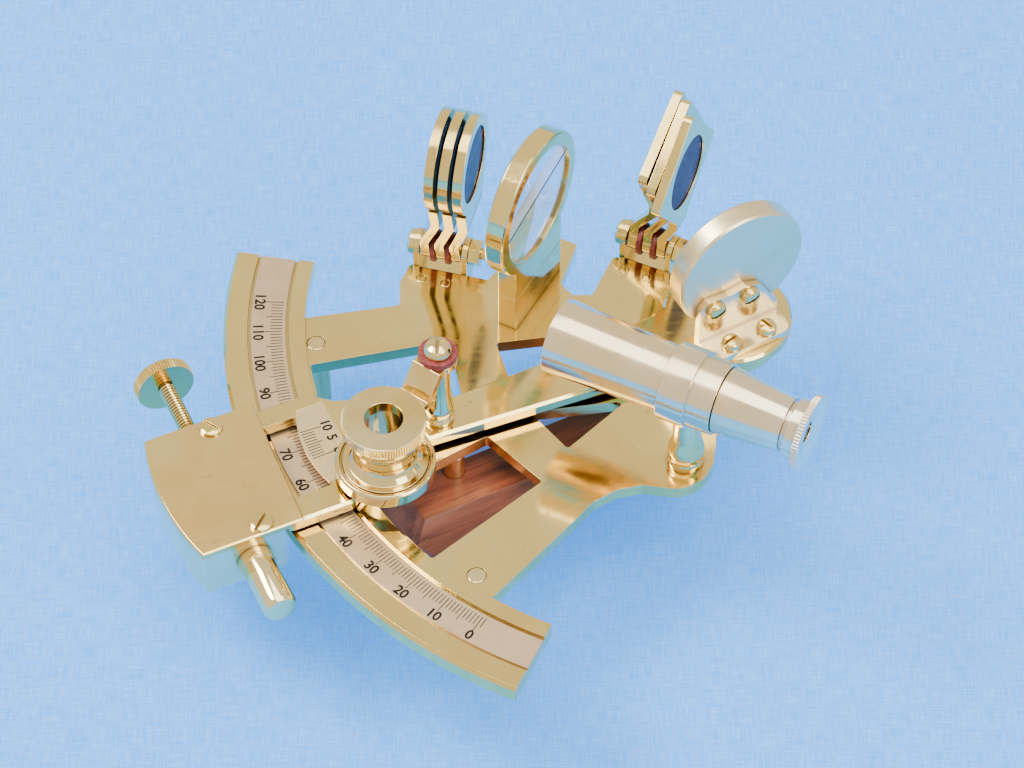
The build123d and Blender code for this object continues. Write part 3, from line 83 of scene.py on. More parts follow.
# ---------------------------------------------------------------- material graph helper
@dataclass
class Graph:
    """A material's node graph, with short calls for the nodes that the finishes share.

    Args:
        name: The material's name.
    """

    name: str
    material: Material = field(init=False)

    def __post_init__(self) -> None:
        """Makes an empty material with one principled shader."""
        self.material = bpy.data.materials.new(self.name)
        self.material.use_nodes = True
        self.tree = self.material.node_tree
        self.tree.nodes.clear()
        self.shader = self.tree.nodes.new("ShaderNodeBsdfPrincipled")
        output = self.tree.nodes.new("ShaderNodeOutputMaterial")
        self.link(self.shader.outputs[0], output.inputs["Surface"])
        self.coords = self.tree.nodes.new("ShaderNodeTexCoord").outputs["Object"]

    def link(self, source: Socket, target: Socket) -> None:
        """Joins two sockets.

        Args:
            source: The socket that gives the value.
            target: The socket that takes it.
        """
        self.tree.links.new(source, target)

    def set(self, **values: object) -> None:
        """Sets sockets of the shader by name, with spaces written as underscores."""
        for key, value in values.items():
            self.shader.inputs[key.replace("_", " ")].default_value = value

    def mapped(self, scale: Triple, turn: Triple = (0.0, 0.0, 0.0)) -> Socket:
        """Object coordinates, turned and stretched.

        Args:
            scale: How many pattern units go into a metre along each axis.
            turn: The turn about each axis in radians.

        Returns:
            The vector socket.
        """
        turned = self.tree.nodes.new("ShaderNodeMapping")
        turned.inputs["Rotation"].default_value = turn
        self.link(self.coords, turned.inputs["Vector"])
        stretched = self.tree.nodes.new("ShaderNodeMapping")
        stretched.inputs["Scale"].default_value = scale
        self.link(turned.outputs[0], stretched.inputs["Vector"])
        return stretched.outputs[0]

    def noise(self, vector: Socket, scale: float, detail: float = 3.0, warp: float = 0.0) -> Socket:
        """A noise value between 0 and 1.

        Args:
            vector: The coordinates.
            scale: The noise's pattern units per unit of the coordinates.
            detail: How many finer layers it has.
            warp: How much it is bent.

        Returns:
            The noise's value.
        """
        node = self.tree.nodes.new("ShaderNodeTexNoise")
        node.inputs["Scale"].default_value = scale
        node.inputs["Detail"].default_value = detail
        node.inputs["Distortion"].default_value = warp
        self.link(vector, node.inputs["Vector"])
        return node.outputs["Fac"]

    def ramp(
        self, value: Socket, low: float, high: float, out_low: float = 0.0, out_high: float = 1.0
    ) -> Socket:
        """A value's range carried to another range, and held at its ends.

        Args:
            value: The value.
            low: The start of its range.
            high: The end of its range.
            out_low: What the start becomes.
            out_high: What the end becomes.

        Returns:
            The carried value.
        """
        node = self.tree.nodes.new("ShaderNodeMapRange")
        names = ("From Min", "From Max", "To Min", "To Max")
        for name, number in zip(names, (low, high, out_low, out_high)):
            node.inputs[name].default_value = number
        self.link(value, node.inputs["Value"])
        return node.outputs[0]

    def mix(self, factor: Socket, first: object, second: object) -> Socket:
        """A colour between two colours, each one a socket or a tuple.

        Args:
            factor: How much of the second colour shows, from 0 to 1.
            first: The first colour.
            second: The second colour.

        Returns:
            The mixed colour.
        """
        node = self.tree.nodes.new("ShaderNodeMix")
        node.data_type = "RGBA"
        self.link(factor, node.inputs[0])
        for socket, colour in ((node.inputs[6], first), (node.inputs[7], second)):
            if isinstance(colour, tuple):
                socket.default_value = (*colour, 1.0)
            else:
                self.link(colour, socket)
        return node.outputs[2]

    def add(self, *values: Socket) -> Socket:
        """The sum of some values."""
        total = values[0]
        for value in values[1:]:
            node = self.tree.nodes.new("ShaderNodeMath")
            node.operation = "ADD"
            self.link(total, node.inputs[0])
            self.link(value, node.inputs[1])
            total = node.outputs[0]
        return total

    def times(self, first: Socket, second: Socket) -> Socket:
        """The product of two values.

        Args:
            first: One value.
            second: The other.

        Returns:
            Their product.
        """
        node = self.tree.nodes.new("ShaderNodeMath")
        node.operation = "MULTIPLY"
        self.link(first, node.inputs[0])
        self.link(second, node.inputs[1])
        return node.outputs[0]

    def waves(self, vector: Socket, pitch: float, start: float) -> Socket:
        """Even bands along Y.

        Args:
            vector: The coordinates in metres.
            pitch: The distance from one band to the next in metres.
            start: A place in metres where the value is 0; it is 1 half a pitch further.

        Returns:
            The bands' value.
        """
        node = self.tree.nodes.new("ShaderNodeTexWave")
        node.bands_direction = "Y"
        node.inputs["Scale"].default_value = 2 * math.pi / (WAVE_UNIT * pitch)
        node.inputs["Phase Offset"].default_value = -2 * math.pi * (start / pitch % 1.0)
        self.link(vector, node.inputs["Vector"])
        return node.outputs["Fac"]

    def bump(self, height: Socket, strength: float, depth: float) -> None:
        """Raises the shader's surface by a height map.

        Args:
            height: The height value.
            strength: How much of the effect shows.
            depth: The height in metres that a value of one stands for.
        """
        node = self.tree.nodes.new("ShaderNodeBump")
        node.inputs["Strength"].default_value = strength
        node.inputs["Distance"].default_value = depth
        self.link(height, node.inputs["Height"])
        self.link(node.outputs[0], self.shader.inputs["Normal"])

    def hollow(self, reach: float) -> Socket:
        """A value that is 1 in the open and falls in corners closer than a reach in metres."""
        node = self.tree.nodes.new("ShaderNodeAmbientOcclusion")
        node.samples = 4
        node.inputs["Distance"].default_value = reach
        return node.outputs["AO"]


# ---------------------------------------------------------------- finishes
@dataclass(frozen=True)
class Brass:
    """Polished brass with tone drift, wiping marks, fine scratches, and darkening in its corners that is
    painted shade and patina together.

    Args:
        name: The material's name.
        light: The clean metal's colour.
        deep: The colour of its older patches.
        gloss: The roughness of the clean metal.
        grain: How the fine scratches run, as pattern units per metre along each axis.
        turn: The grain's turn about +Z in degrees.
        scratch: The strength of the fine scratches.
        corner: How near to a corner the painted shade and patina start, in metres.
        shade_and_patina: How much of the painted shade and patina shows in the corners.
    """

    name: str
    light: Triple = (0.97, 0.76, 0.29)
    deep: Triple = (0.88, 0.63, 0.20)
    gloss: float = 0.07
    grain: Triple = (90.0, 1500.0, 1500.0)
    turn: float = 0.0
    scratch: float = 0.05
    corner: float = 0.0022
    shade_and_patina: float = 0.72

    def body(self, g: Graph, clean: Socket) -> Socket:
        """The metal's colour under its spots; a finish with more to show adds it here.

        Args:
            g: The material's graph.
            clean: The clean metal's colour.

        Returns:
            The colour to put the spots on.
        """
        return clean

    def material(self) -> Material:
        """Builds the material."""
        g = Graph(self.name)
        g.set(Metallic=1.0)
        plain = g.mapped(EVEN)
        drift = g.ramp(g.noise(plain, 38.0, 4.0, 0.6), 0.35, 0.68)
        clean = self.body(g, g.mix(drift, self.light, self.deep))
        spots = g.ramp(g.noise(plain, 420.0, 2.0), 0.70, 0.78)
        spotted = g.mix(g.ramp(spots, 0.0, 1.0, 0.0, 0.35), clean, SPOTS)
        # Painted shade: ambient occlusion darkens the colour in corners, standing for shade and patina
        # together.
        corner = g.ramp(g.hollow(self.corner), 0.25, 0.80, self.shade_and_patina, 0.0)
        g.link(g.mix(corner, spotted, CORNER_SHADE_AND_PATINA), g.shader.inputs["Base Color"])
        lines = g.noise(g.mapped(self.grain, (0.0, 0.0, math.radians(self.turn))), 1.0, 3.0)
        wiped = g.ramp(g.noise(plain, 70.0, 5.0, 1.8), 0.48, 0.72, 0.0, 0.10)
        streaks = g.ramp(lines, 0.45, 0.75, 0.0, 0.05)
        base = g.ramp(drift, 0.0, 1.0, self.gloss, self.gloss + 0.04)
        g.link(g.add(base, wiped, streaks), g.shader.inputs["Roughness"])
        waves = g.noise(plain, 55.0, 2.0)
        g.bump(g.add(g.ramp(lines, 0.0, 1.0, 0.0, self.scratch), waves), 0.18, 0.00025)
        return g.material


@dataclass(frozen=True)
class ThreadedBrass(Brass):
    """Brass with painted shade in the roots of a screw thread.

    Args:
        pitch: The distance from root to root in metres.
        root: One root's place along the screw's axis in metres.
        end: Where the thread ends along the axis in metres.
        axis_turn: The turn about +Z in degrees that lays the screw's axis along +Y.
    """

    pitch: float = 0.0009
    root: float = 0.0195
    end: float = 0.0396
    axis_turn: float = 2.5

    def body(self, g: Graph, clean: Socket) -> Socket:
        """Paints shade into the thread's roots and leaves the knob without it.

        Args:
            g: The material's graph.
            clean: The clean metal's colour.

        Returns:
            The colour with its dirt.
        """
        along = g.mapped(EVEN, (0.0, 0.0, math.radians(self.axis_turn)))
        rings = g.waves(along, self.pitch, self.root)
        split = g.tree.nodes.new("ShaderNodeSeparateXYZ")
        g.link(along, split.inputs[0])
        # Painted shade: bands along the axis darken the roots, and stop where the thread ends.
        root_shade = g.ramp(rings, 0.05, 0.60, 0.92, 0.0)
        shown = g.times(root_shade, g.ramp(split.outputs["Y"], self.end, self.end + 0.0001, 1.0, 0.0))
        return g.mix(shown, clean, ROOT_SHADE)


@dataclass(frozen=True)
class EngravedBrass:
    """Pale matt brass of a divided strip, brushed along one way.

    Args:
        name: The material's name.
        light: The strip's paler tone.
        deep: Its darker tone.
        gloss: Its roughness.
    """

    name: str
    light: Triple = (0.66, 0.49, 0.31)
    deep: Triple = (0.51, 0.36, 0.21)
    gloss: float = 0.32

    def material(self) -> Material:
        """Builds the material."""
        g = Graph(self.name)
        g.set(Metallic=0.85)
        plain = g.mapped(EVEN)
        drift = g.ramp(g.noise(plain, 90.0, 5.0, 0.8), 0.35, 0.7)
        g.link(g.mix(drift, self.light, self.deep), g.shader.inputs["Base Color"])
        lines = g.noise(g.mapped((260.0, 2400.0, 260.0)), 1.0, 4.0)
        base = g.ramp(drift, 0.0, 1.0, self.gloss, self.gloss + 0.14)
        g.link(g.add(base, g.ramp(lines, 0.4, 0.8, 0.0, 0.12)), g.shader.inputs["Roughness"])
        g.bump(lines, 0.25, 0.00004)
        return g.material


@dataclass(frozen=True)
class Rosewood:
    """Dark red wood with grain along the grip, pores and an oiled sheen.

    Args:
        name: The material's name.
        light: The wood between its dark lines.
        deep: The dark lines.
    """

    name: str
    light: Triple = (0.44, 0.105, 0.045)
    deep: Triple = (0.12, 0.022, 0.012)

    def material(self) -> Material:
        """Builds the material."""
        g = Graph(self.name)
        bands = g.noise(g.mapped((14.0, 150.0, 120.0)), 1.0, 5.0, 1.4)
        fine = g.noise(g.mapped((60.0, 1200.0, 1200.0)), 1.0, 3.0)
        pores = g.ramp(g.noise(g.mapped((220.0, 2600.0, 2600.0)), 1.0, 2.0), 0.62, 0.74)
        body = g.mix(g.ramp(bands, 0.36, 0.64), self.deep, self.light)
        veined = g.mix(g.ramp(fine, 0.42, 0.7, 0.0, 0.45), body, self.deep)
        filled = g.mix(g.ramp(pores, 0.0, 1.0, 0.0, 0.7), veined, (0.02, 0.008, 0.006))
        g.link(filled, g.shader.inputs["Base Color"])
        oiled = g.ramp(g.noise(g.mapped(EVEN), 120.0, 3.0), 0.3, 0.7, 0.26, 0.42)
        g.link(oiled, g.shader.inputs["Roughness"])
        g.set(Coat_Weight=0.10, Coat_Roughness=0.16)
        g.bump(g.add(g.ramp(pores, 0.0, 1.0, 0.6, 0.0), g.ramp(fine, 0.0, 1.0, 0.0, 0.3)), 0.35, 0.00012)
        return g.material


@dataclass(frozen=True)
class Fibre:
    """Red vulcanised fibre with a faint fleck and a worn sheen.

    Args:
        name: The material's name.
    """

    name: str

    def material(self) -> Material:
        """Builds the material."""
        g = Graph(self.name)
        plain = g.mapped(EVEN)
        fleck = g.ramp(g.noise(plain, 900.0, 4.0), 0.4, 0.7)
        g.link(g.mix(fleck, (0.17, 0.018, 0.020), (0.30, 0.05, 0.05)), g.shader.inputs["Base Color"])
        g.link(g.ramp(g.noise(plain, 300.0, 2.0), 0.3, 0.7, 0.35, 0.55), g.shader.inputs["Roughness"])
        g.bump(fleck, 0.3, 0.00006)
        return g.material


@dataclass(frozen=True)
class Glass:
    """Polished glass with a little dust and wiping.

    Args:
        name: The material's name.
        tint: The colour that the glass passes.
        clearness: How much light goes through, from 0 to 1.
        gloss: Its roughness where it is clean.
        bend: Its refractive index, which also says how strongly it reflects.
        shine: How strongly it reflects beyond that, where 0.5 is plain glass.
    """

    name: str
    tint: Triple
    clearness: float
    gloss: float = 0.02
    bend: float = 1.5
    shine: float = 0.5

    def material(self) -> Material:
        """Builds the material."""
        g = Graph(self.name)
        g.set(Transmission_Weight=self.clearness, IOR=self.bend, Specular_IOR_Level=self.shine)
        plain = g.mapped(EVEN)
        haze = g.ramp(g.noise(plain, 140.0, 4.0, 1.2), 0.45, 0.8)
        paler = tuple(min(1.0, c * 1.25 + 0.02) for c in self.tint)
        g.link(g.mix(haze, self.tint, paler), g.shader.inputs["Base Color"])
        g.link(g.ramp(haze, 0.0, 1.0, self.gloss, self.gloss + 0.05), g.shader.inputs["Roughness"])
        return g.material


@dataclass(frozen=True)
class Silvering:
    """A mirror's silver, with fine specks of age.

    Args:
        name: The material's name.
        gloss: Its roughness.
    """

    name: str
    gloss: float = 0.03

    def material(self) -> Material:
        """Builds the material."""
        g = Graph(self.name)
        g.set(Metallic=1.0)
        plain = g.mapped(EVEN)
        specks = g.ramp(g.noise(plain, 800.0, 3.0), 0.68, 0.76)
        g.link(g.mix(specks, (0.90, 0.93, 0.95), (0.55, 0.55, 0.53)), g.shader.inputs["Base Color"])
        wiped = g.noise(plain, 160.0, 4.0, 1.0)
        g.link(g.ramp(wiped, 0.4, 0.8, self.gloss, self.gloss + 0.05), g.shader.inputs["Roughness"])
        return g.material


@dataclass(frozen=True)
class Paint:
    """Black filling in cut lines and figures, worn thin in places.

    Args:
        name: The material's name.
    """

    name: str

    def material(self) -> Material:
        """Builds the material."""
        g = Graph(self.name)
        worn = g.ramp(g.noise(g.mapped(EVEN), 700.0, 4.0), 0.5, 0.8)
        g.set(Specular_IOR_Level=0.1)
        g.link(g.mix(worn, (0.012, 0.009, 0.008), (0.07, 0.048, 0.036)), g.shader.inputs["Base Color"])
        g.link(g.ramp(worn, 0.0, 1.0, 0.45, 0.7), g.shader.inputs["Roughness"])
        return g.material


@dataclass(frozen=True)
class Cloth:
    """The pale blue ground, with a faint plain weave.

    Args:
        name: The material's name.
        lay: The turn of its threads about +Z in degrees.
    """

    name: str
    lay: float = 27.5

    def material(self) -> Material:
        """Builds the material."""
        g = Graph(self.name)
        plain = g.mapped(EVEN)
        patch = g.ramp(g.noise(plain, 3.0, 3.0), 0.3, 0.7)
        lay = (0.0, 0.0, math.radians(self.lay))
        warp = g.noise(g.mapped((160.0, 2300.0, 1.0), lay), 1.0, 2.0)
        weft = g.noise(g.mapped((2300.0, 160.0, 1.0), lay), 1.0, 2.0)
        threads = g.add(warp, weft)
        dyed = g.mix(patch, (0.020, 0.275, 0.78), (0.035, 0.305, 0.82))
        woven = g.mix(g.ramp(threads, 0.8, 1.25, 0.0, 0.35), dyed, (0.42, 0.66, 1.0))
        g.link(woven, g.shader.inputs["Base Color"])
        g.set(Roughness=0.9, Emission_Color=(0.0, 0.24, 1.0, 1.0), Emission_Strength=1.10)
        g.bump(threads, 0.5, 0.0003)
        return g.material


# ---------------------------------------------------------------- mesh helpers
def grid_faces(rows: int, columns: int) -> np.ndarray:
    """The quads of a grid of points that is stored row by row.

    Args:
        rows: How many rows of points there are.
        columns: How many points are in a row.

    Returns:
        An array of four point numbers per quad.
    """
    corner = (np.arange(rows - 1)[:, None] * columns + np.arange(columns - 1)[None, :]).ravel()
    return np.stack([corner, corner + 1, corner + columns + 1, corner + columns], axis=1)


def mesh_object(name: str, points: np.ndarray, faces: np.ndarray) -> SceneObject:
    """Puts whole arrays of points and faces into a new object.

    Args:
        name: The object's name.
        points: Points in metres, one per row.
        faces: Point numbers, one face per row.

    Returns:
        The object, at the origin.
    """
    mesh = bpy.data.meshes.new(name)
    mesh.from_pydata(points.tolist(), [], faces.tolist())
    mesh.polygons.foreach_set("use_smooth", np.zeros(len(faces), dtype=bool))
    mesh.update()
    piece = bpy.data.objects.new(name, mesh)
    bpy.context.scene.collection.objects.link(piece)
    return piece


def finish_piece(piece: SceneObject, material: Material, body: Body) -> None:
    """Dresses a new piece and says what it rides on.

    Args:
        piece: The piece.
        material: Its finish.
        body: The body that carries it.
    """
    piece.data.materials.clear()
    piece.data.materials.append(material)
    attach(piece, body.value)
    log.info("piece %s rides on %s", piece.name, body.value)


def line_lengths(numbers: np.ndarray, unit: float, five: float, ten: float) -> np.ndarray:
    """The length of each division's line: longer at every fifth and longest at every tenth.

    Args:
        numbers: The divisions' numbers.
        unit: The plain length.
        five: The length at every fifth division.
        ten: The length at every tenth division.

    Returns:
        A length for each division.
    """
    return np.where(numbers % TEN == 0, ten, np.where(numbers % FIVE == 0, five, unit))


def radial_marks(
    angles: np.ndarray, starts: np.ndarray, ends: np.ndarray, width: float, height: float
) -> tuple[np.ndarray, np.ndarray]:
    """Flat radial strokes about the pivot axis.

    Each stroke is a quad: its two ends lie on the ray at its angle, at its start and end radius, and its
    sides stand half a width off that ray.

    Args:
        angles: Their angles in radians.
        starts: Their inner radii in millimetres.
        ends: Their outer radii in millimetres.
        width: Their width in millimetres.
        height: Their height above the ground in millimetres.

    Returns:
        The points in metres and the quads.
    """
    along = np.stack([np.cos(angles), np.sin(angles)], axis=1)
    side = np.stack([-np.sin(angles), np.cos(angles)], axis=1) * width / 2
    corners = np.stack([
        along * starts[:, None] - side,
        along * ends[:, None] - side,
        along * ends[:, None] + side,
        along * starts[:, None] + side,
    ], axis=1)
    flat = corners.reshape(-1, 2)
    points = np.column_stack([flat, np.full(len(flat), height)]) * MM
    faces = np.arange(len(flat)).reshape(-1, 4)
    return points, faces


def figure(text: str, size: float, place: Vector, up: Vector, name: str) -> SceneObject:
    """A flat number that lies level.

    Args:
        text: The digits.
        size: The font size in millimetres.
        place: The middle of the number in millimetres.
        up: The level direction of its top.
        name: The piece's name.

    Returns:
        The number as a mesh with its place in its points.
    """
    curve = bpy.data.curves.new(name, "FONT")
    curve.body = text
    curve.size = size * MM
    curve.offset = 0.03 * size * MM
    curve.align_x = "CENTER"
    curve.align_y = "CENTER"
    curve.resolution_u = 4
    source = bpy.data.objects.new(name + "_text", curve)
    bpy.context.scene.collection.objects.link(source)
    bpy.context.view_layer.update()
    settled = source.evaluated_get(bpy.context.evaluated_depsgraph_get())
    mesh = bpy.data.meshes.new_from_object(settled)
    bpy.data.objects.remove(source)
    right = up.cross(Vector((0, 0, 1)))
    lay = Matrix((right, up, (0, 0, 1))).transposed().to_4x4()
    mesh.transform(Matrix.Translation(place * MM) @ lay)
    piece = bpy.data.objects.new(name, mesh)
    bpy.context.scene.collection.objects.link(piece)
    return piece


def radial_figure(
    number: int, degrees: float, radius: float, height: float, size: float, name: str
) -> SceneObject:
    """A level number whose top points to the pivot axis.

    Args:
        number: The number.
        degrees: Its angle about the pivot.
        radius: The radius of its middle in millimetres.
        height: The height of the metal below it in millimetres.
        size: The font size in millimetres.
        name: The piece's name.

    Returns:
        The number as a mesh.
    """
    angle = math.radians(degrees)
    outward = Vector((math.cos(angle), math.sin(angle), 0))
    place = outward * radius
    place.z = height + FIGURE_LIFT
    return figure(str(number), size, place, -outward, name)


def joined(pieces: list[SceneObject], name: str) -> SceneObject:
    """Joins some flat pieces into one.

    Args:
        pieces: The pieces, of which the first one takes in the others.
        name: The joined piece's name.

    Returns:
        The joined piece.
    """
    for selected in bpy.context.selected_objects:
        selected.select_set(False)
    for piece in pieces:
        piece.select_set(True)
    bpy.context.view_layer.objects.active = pieces[0]
    bpy.ops.object.join()
    pieces[0].name = name
    return pieces[0]


# ---------------------------------------------------------------- the solids' shading
@dataclass
class SolidDressing:
    """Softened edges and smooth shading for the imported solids.

    Args:
        crease: The angle in degrees above which an edge stays an edge.
        softening: The width of a metal piece's softened edge in millimetres.
        wood_softening: The width of the wooden grip's softened edge.
    """

    crease: float = 32.0
    softening: float = 0.18
    wood_softening: float = 0.9

    def smoothing_group(self) -> bpy.types.NodeTree:
        """A geometry group that merges loose triangles and shades them smooth up to the crease angle."""
        group = bpy.data.node_groups.new("smooth_by_angle", "GeometryNodeTree")
        group.interface.new_socket("Geometry", in_out="INPUT", socket_type="NodeSocketGeometry")
        group.interface.new_socket("Geometry", in_out="OUTPUT", socket_type="NodeSocketGeometry")
        start = group.nodes.new("NodeGroupInput")
        end = group.nodes.new("NodeGroupOutput")
        merge = group.nodes.new("GeometryNodeMergeByDistance")
        merge.inputs["Distance"].default_value = 1e-6
        faces = group.nodes.new("GeometryNodeSetShadeSmooth")
        faces.domain = "FACE"
        faces.inputs["Shade Smooth"].default_value = True
        edges = group.nodes.new("GeometryNodeSetShadeSmooth")
        edges.domain = "EDGE"
        edges.inputs["Shade Smooth"].default_value = False
        angle = group.nodes.new("GeometryNodeInputMeshEdgeAngle")
        sharp = group.nodes.new("FunctionNodeCompare")
        sharp.operation = "GREATER_THAN"
        sharp.inputs[1].default_value = math.radians(self.crease)
        group.links.new(start.outputs[0], merge.inputs[0])
        group.links.new(merge.outputs[0], faces.inputs[0])
        group.links.new(faces.outputs[0], edges.inputs[0])
        group.links.new(angle.outputs[0], sharp.inputs[0])
        group.links.new(sharp.outputs[0], edges.inputs["Selection"])
        group.links.new(edges.outputs[0], end.inputs[0])
        return group

    def apply(self, nodes: dict[str, SceneObject], plain: set[str]) -> None:
        """Gives every solid its modifiers.

        Args:
            nodes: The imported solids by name.
            plain: The solids whose edges stay unsoftened.
        """
        group = self.smoothing_group()
        for name, solid in nodes.items():
            solid.modifiers.new("smooth", "NODES").node_group = group
            if name in plain:
                continue
            flat = solid.modifiers.new("flat", "DECIMATE")
            flat.decimate_type = "DISSOLVE"
            flat.angle_limit = math.radians(0.2)
            bevel = solid.modifiers.new("edge", "BEVEL")
            bevel.width = (self.wood_softening if name == "handle_grip" else self.softening) * MM
            bevel.segments = 2
            bevel.limit_method = "ANGLE"
            bevel.angle_limit = math.radians(self.crease)
            bevel.harden_normals = True
            bevel.use_clamp_overlap = True


# ---------------------------------------------------------------- sub-assemblies
@dataclass
class Scale:
    """The dividing strip on the limb: its cut lines and figures.

    Args:
        zero: The zero line's angle in degrees.
        step: Degrees of arc per division.
        last: The last division.
        start: The lines' inner radius in millimetres.
        unit, five, ten: The lines' lengths in millimetres.
        width: The lines' width in millimetres.
        top: The strip's height above the ground in millimetres.
        figure_radius: The radius of the figures' middles.
        figure_size: The figures' font size.
    """

    zero: float = 210.0
    step: float = 0.5
    last: int = 120
    start: float = 112.0
    unit: float = 3.0
    five: float = 4.1
    ten: float = 4.8
    width: float = 0.24
    top: float = 37.7
    figure_radius: float = 118.2
    figure_size: float = 3.7

    def lines(self) -> SceneObject:
        """The cut lines, filled with black: one quad for each division, at the floor of its groove."""
        numbers = np.arange(-1, self.last + 1)
        angles = np.radians(self.zero - self.step * numbers)
        lengths = line_lengths(numbers, self.unit, self.five, self.ten)
        starts = np.full(len(numbers), self.start)
        height = self.top + LINE_LIFT
        points, faces = radial_marks(angles, starts, starts + lengths, self.width, height)
        return mesh_object("scale_lines", points, faces)

    def figures(self) -> SceneObject:
        """The numbers from 0 to 120, with their tops towards the pivot."""
        made = []
        for number in range(0, self.last + 1, TEN):
            degrees = self.zero - self.step * number
            name = f"scale_number_{number}"
            made.append(
                radial_figure(number, degrees, self.figure_radius, self.top, self.figure_size, name)
            )
        return joined(made, "scale_figures")

    def build(self, paint: Material) -> None:
        """Makes and dresses the lines and figures.

        Args:
            paint: The filling in them.
        """
        finish_piece(self.lines(), paint, Body.FRAME)
        finish_piece(self.figures(), paint, Body.FRAME)


@dataclass
class Vernier:
    """The vernier's lines and figures on the index arm.

    Args:
        zero: The zero line's angle in degrees at rest.
        span: The arc of its divisions in degrees.
        divisions: How many divisions it has.
        edge: The radius of its curved edge in millimetres.
        unit, five, ten: The lines' lengths in millimetres.
        width: The lines' width in millimetres.
        top: Its height above the ground in millimetres.
        figure_radius: The radius of the figures' middles.
        figure_size: The figures' font size.
    """

    zero: float = 178.45
    span: float = 4.5
    divisions: int = 10
    edge: float = 113.5
    unit: float = 3.3
    five: float = 4.3
    ten: float = 5.4
    width: float = 0.26
    top: float = 41.8
    figure_radius: float = 106.8
    figure_size: float = 3.5

    def build(self, paint: Material) -> None:
        """Makes and dresses the lines and figures.

        Args:
            paint: The filling in them.
        """
        numbers = np.arange(self.divisions + 1)
        degrees = self.zero - self.span * numbers / self.divisions
        lengths = line_lengths(numbers, self.unit, self.five, self.ten)
        ends = np.full(len(numbers), self.edge)
        height = self.top + LINE_LIFT
        points, faces = radial_marks(np.radians(degrees), ends - lengths, ends, self.width, height)
        lines = mesh_object("vernier_lines", points, faces)
        finish_piece(lines, paint, Body.INDEX_ARM)
        made = []
        for number in range(0, self.divisions + 1, FIVE):
            angle = self.zero - self.span * number / self.divisions
            name = f"vernier_number_{number}"
            made.append(
                radial_figure(number, angle, self.figure_radius, self.top, self.figure_size, name)
            )
        finish_piece(joined(made, "vernier_figures"), paint, Body.INDEX_ARM)


@dataclass
class HorizonSilvering:
    """The silvered half of the horizon glass, a thin film on its front face.

    Args:
        centre: The front face's centre in millimetres.
        plane_angle: The glass plane's level direction in degrees.
        setback: How far behind the ring's front face the film lies.
        radius: The glass's visible radius.
        tilt: The turn from upright of the straight edge between the silver and the clear glass, in degrees.
        inset: The distance of the straight edge above the middle.
        band: The width of the frosted band above the straight edge.
        line: Half the width of the dark line along the straight edge.
        line_lift: How far the dark line stands proud of the films.
        points_each_way: How many points a film has across and along.
    """

    centre: Triple = (-38.2, 27.6, 72.7)
    plane_angle: float = 34.0
    setback: float = 1.15
    radius: float = 15.7
    tilt: float = 101.0
    inset: float = 1.0
    band: float = 6.4
    line: float = 0.35
    line_lift: float = 0.01
    points_each_way: int = 40

    def film(self, name: str, low: float, high: float, lift: float) -> SceneObject:
        """A film between two upright lines that are turned by the tilt.

        The point at (u, v) is u across and v times the half chord along the lines, where the half
        chord is the root of radius squared less u squared.

        Args:
            name: The piece's name.
            low: The distance of its near line from the middle.
            high: The distance of its far line.
            lift: How far it stands proud of the glass.

        Returns:
            The film.
        """
        count = self.points_each_way
        across = np.linspace(low, high, count)
        share = np.linspace(-1.0, 1.0, count)
        u = np.repeat(across, count)
        v = np.tile(share, count) * np.sqrt(np.maximum(self.radius ** 2 - u ** 2, 0.0))
        lean = math.radians(self.tilt)
        x = u * math.cos(lean) - v * math.sin(lean)
        y = u * math.sin(lean) + v * math.cos(lean)
        level = math.radians(self.plane_angle)
        right = np.array([math.cos(level), math.sin(level), 0.0])
        facing = np.array([math.sin(level), -math.cos(level), 0.0])
        middle = np.array(self.centre) - facing * (self.setback - lift)
        upward = np.array([0.0, 0.0, 1.0])
        points = (middle + x[:, None] * right + y[:, None] * upward) * MM
        return mesh_object(name, points, grid_faces(count, count)[:, ::-1])

    def build(self, silver: Material, frosted: Material, dark: Material) -> None:
        """Makes and dresses the silver, the frosted band over it and the dark line between them.

        Args:
            silver: The half-silvered film's finish.
            frosted: The band's finish.
            dark: The line's finish.
        """
        top = self.inset + self.band
        bottom = -self.radius * 0.999  # just inside the rim, where a film's width would be nothing
        layers = (
            ("horizon_silver", bottom, self.inset, 0.0, silver),
            ("horizon_frosted_band", self.inset, top, 0.0, frosted),
            ("horizon_silver_line", self.inset - self.line, self.inset + self.line, self.line_lift, dark),
        )
        for name, low, high, lift, material in layers:
            film = self.film(name, low, high, lift)
            finish_piece(film, material, Body.FRAME)


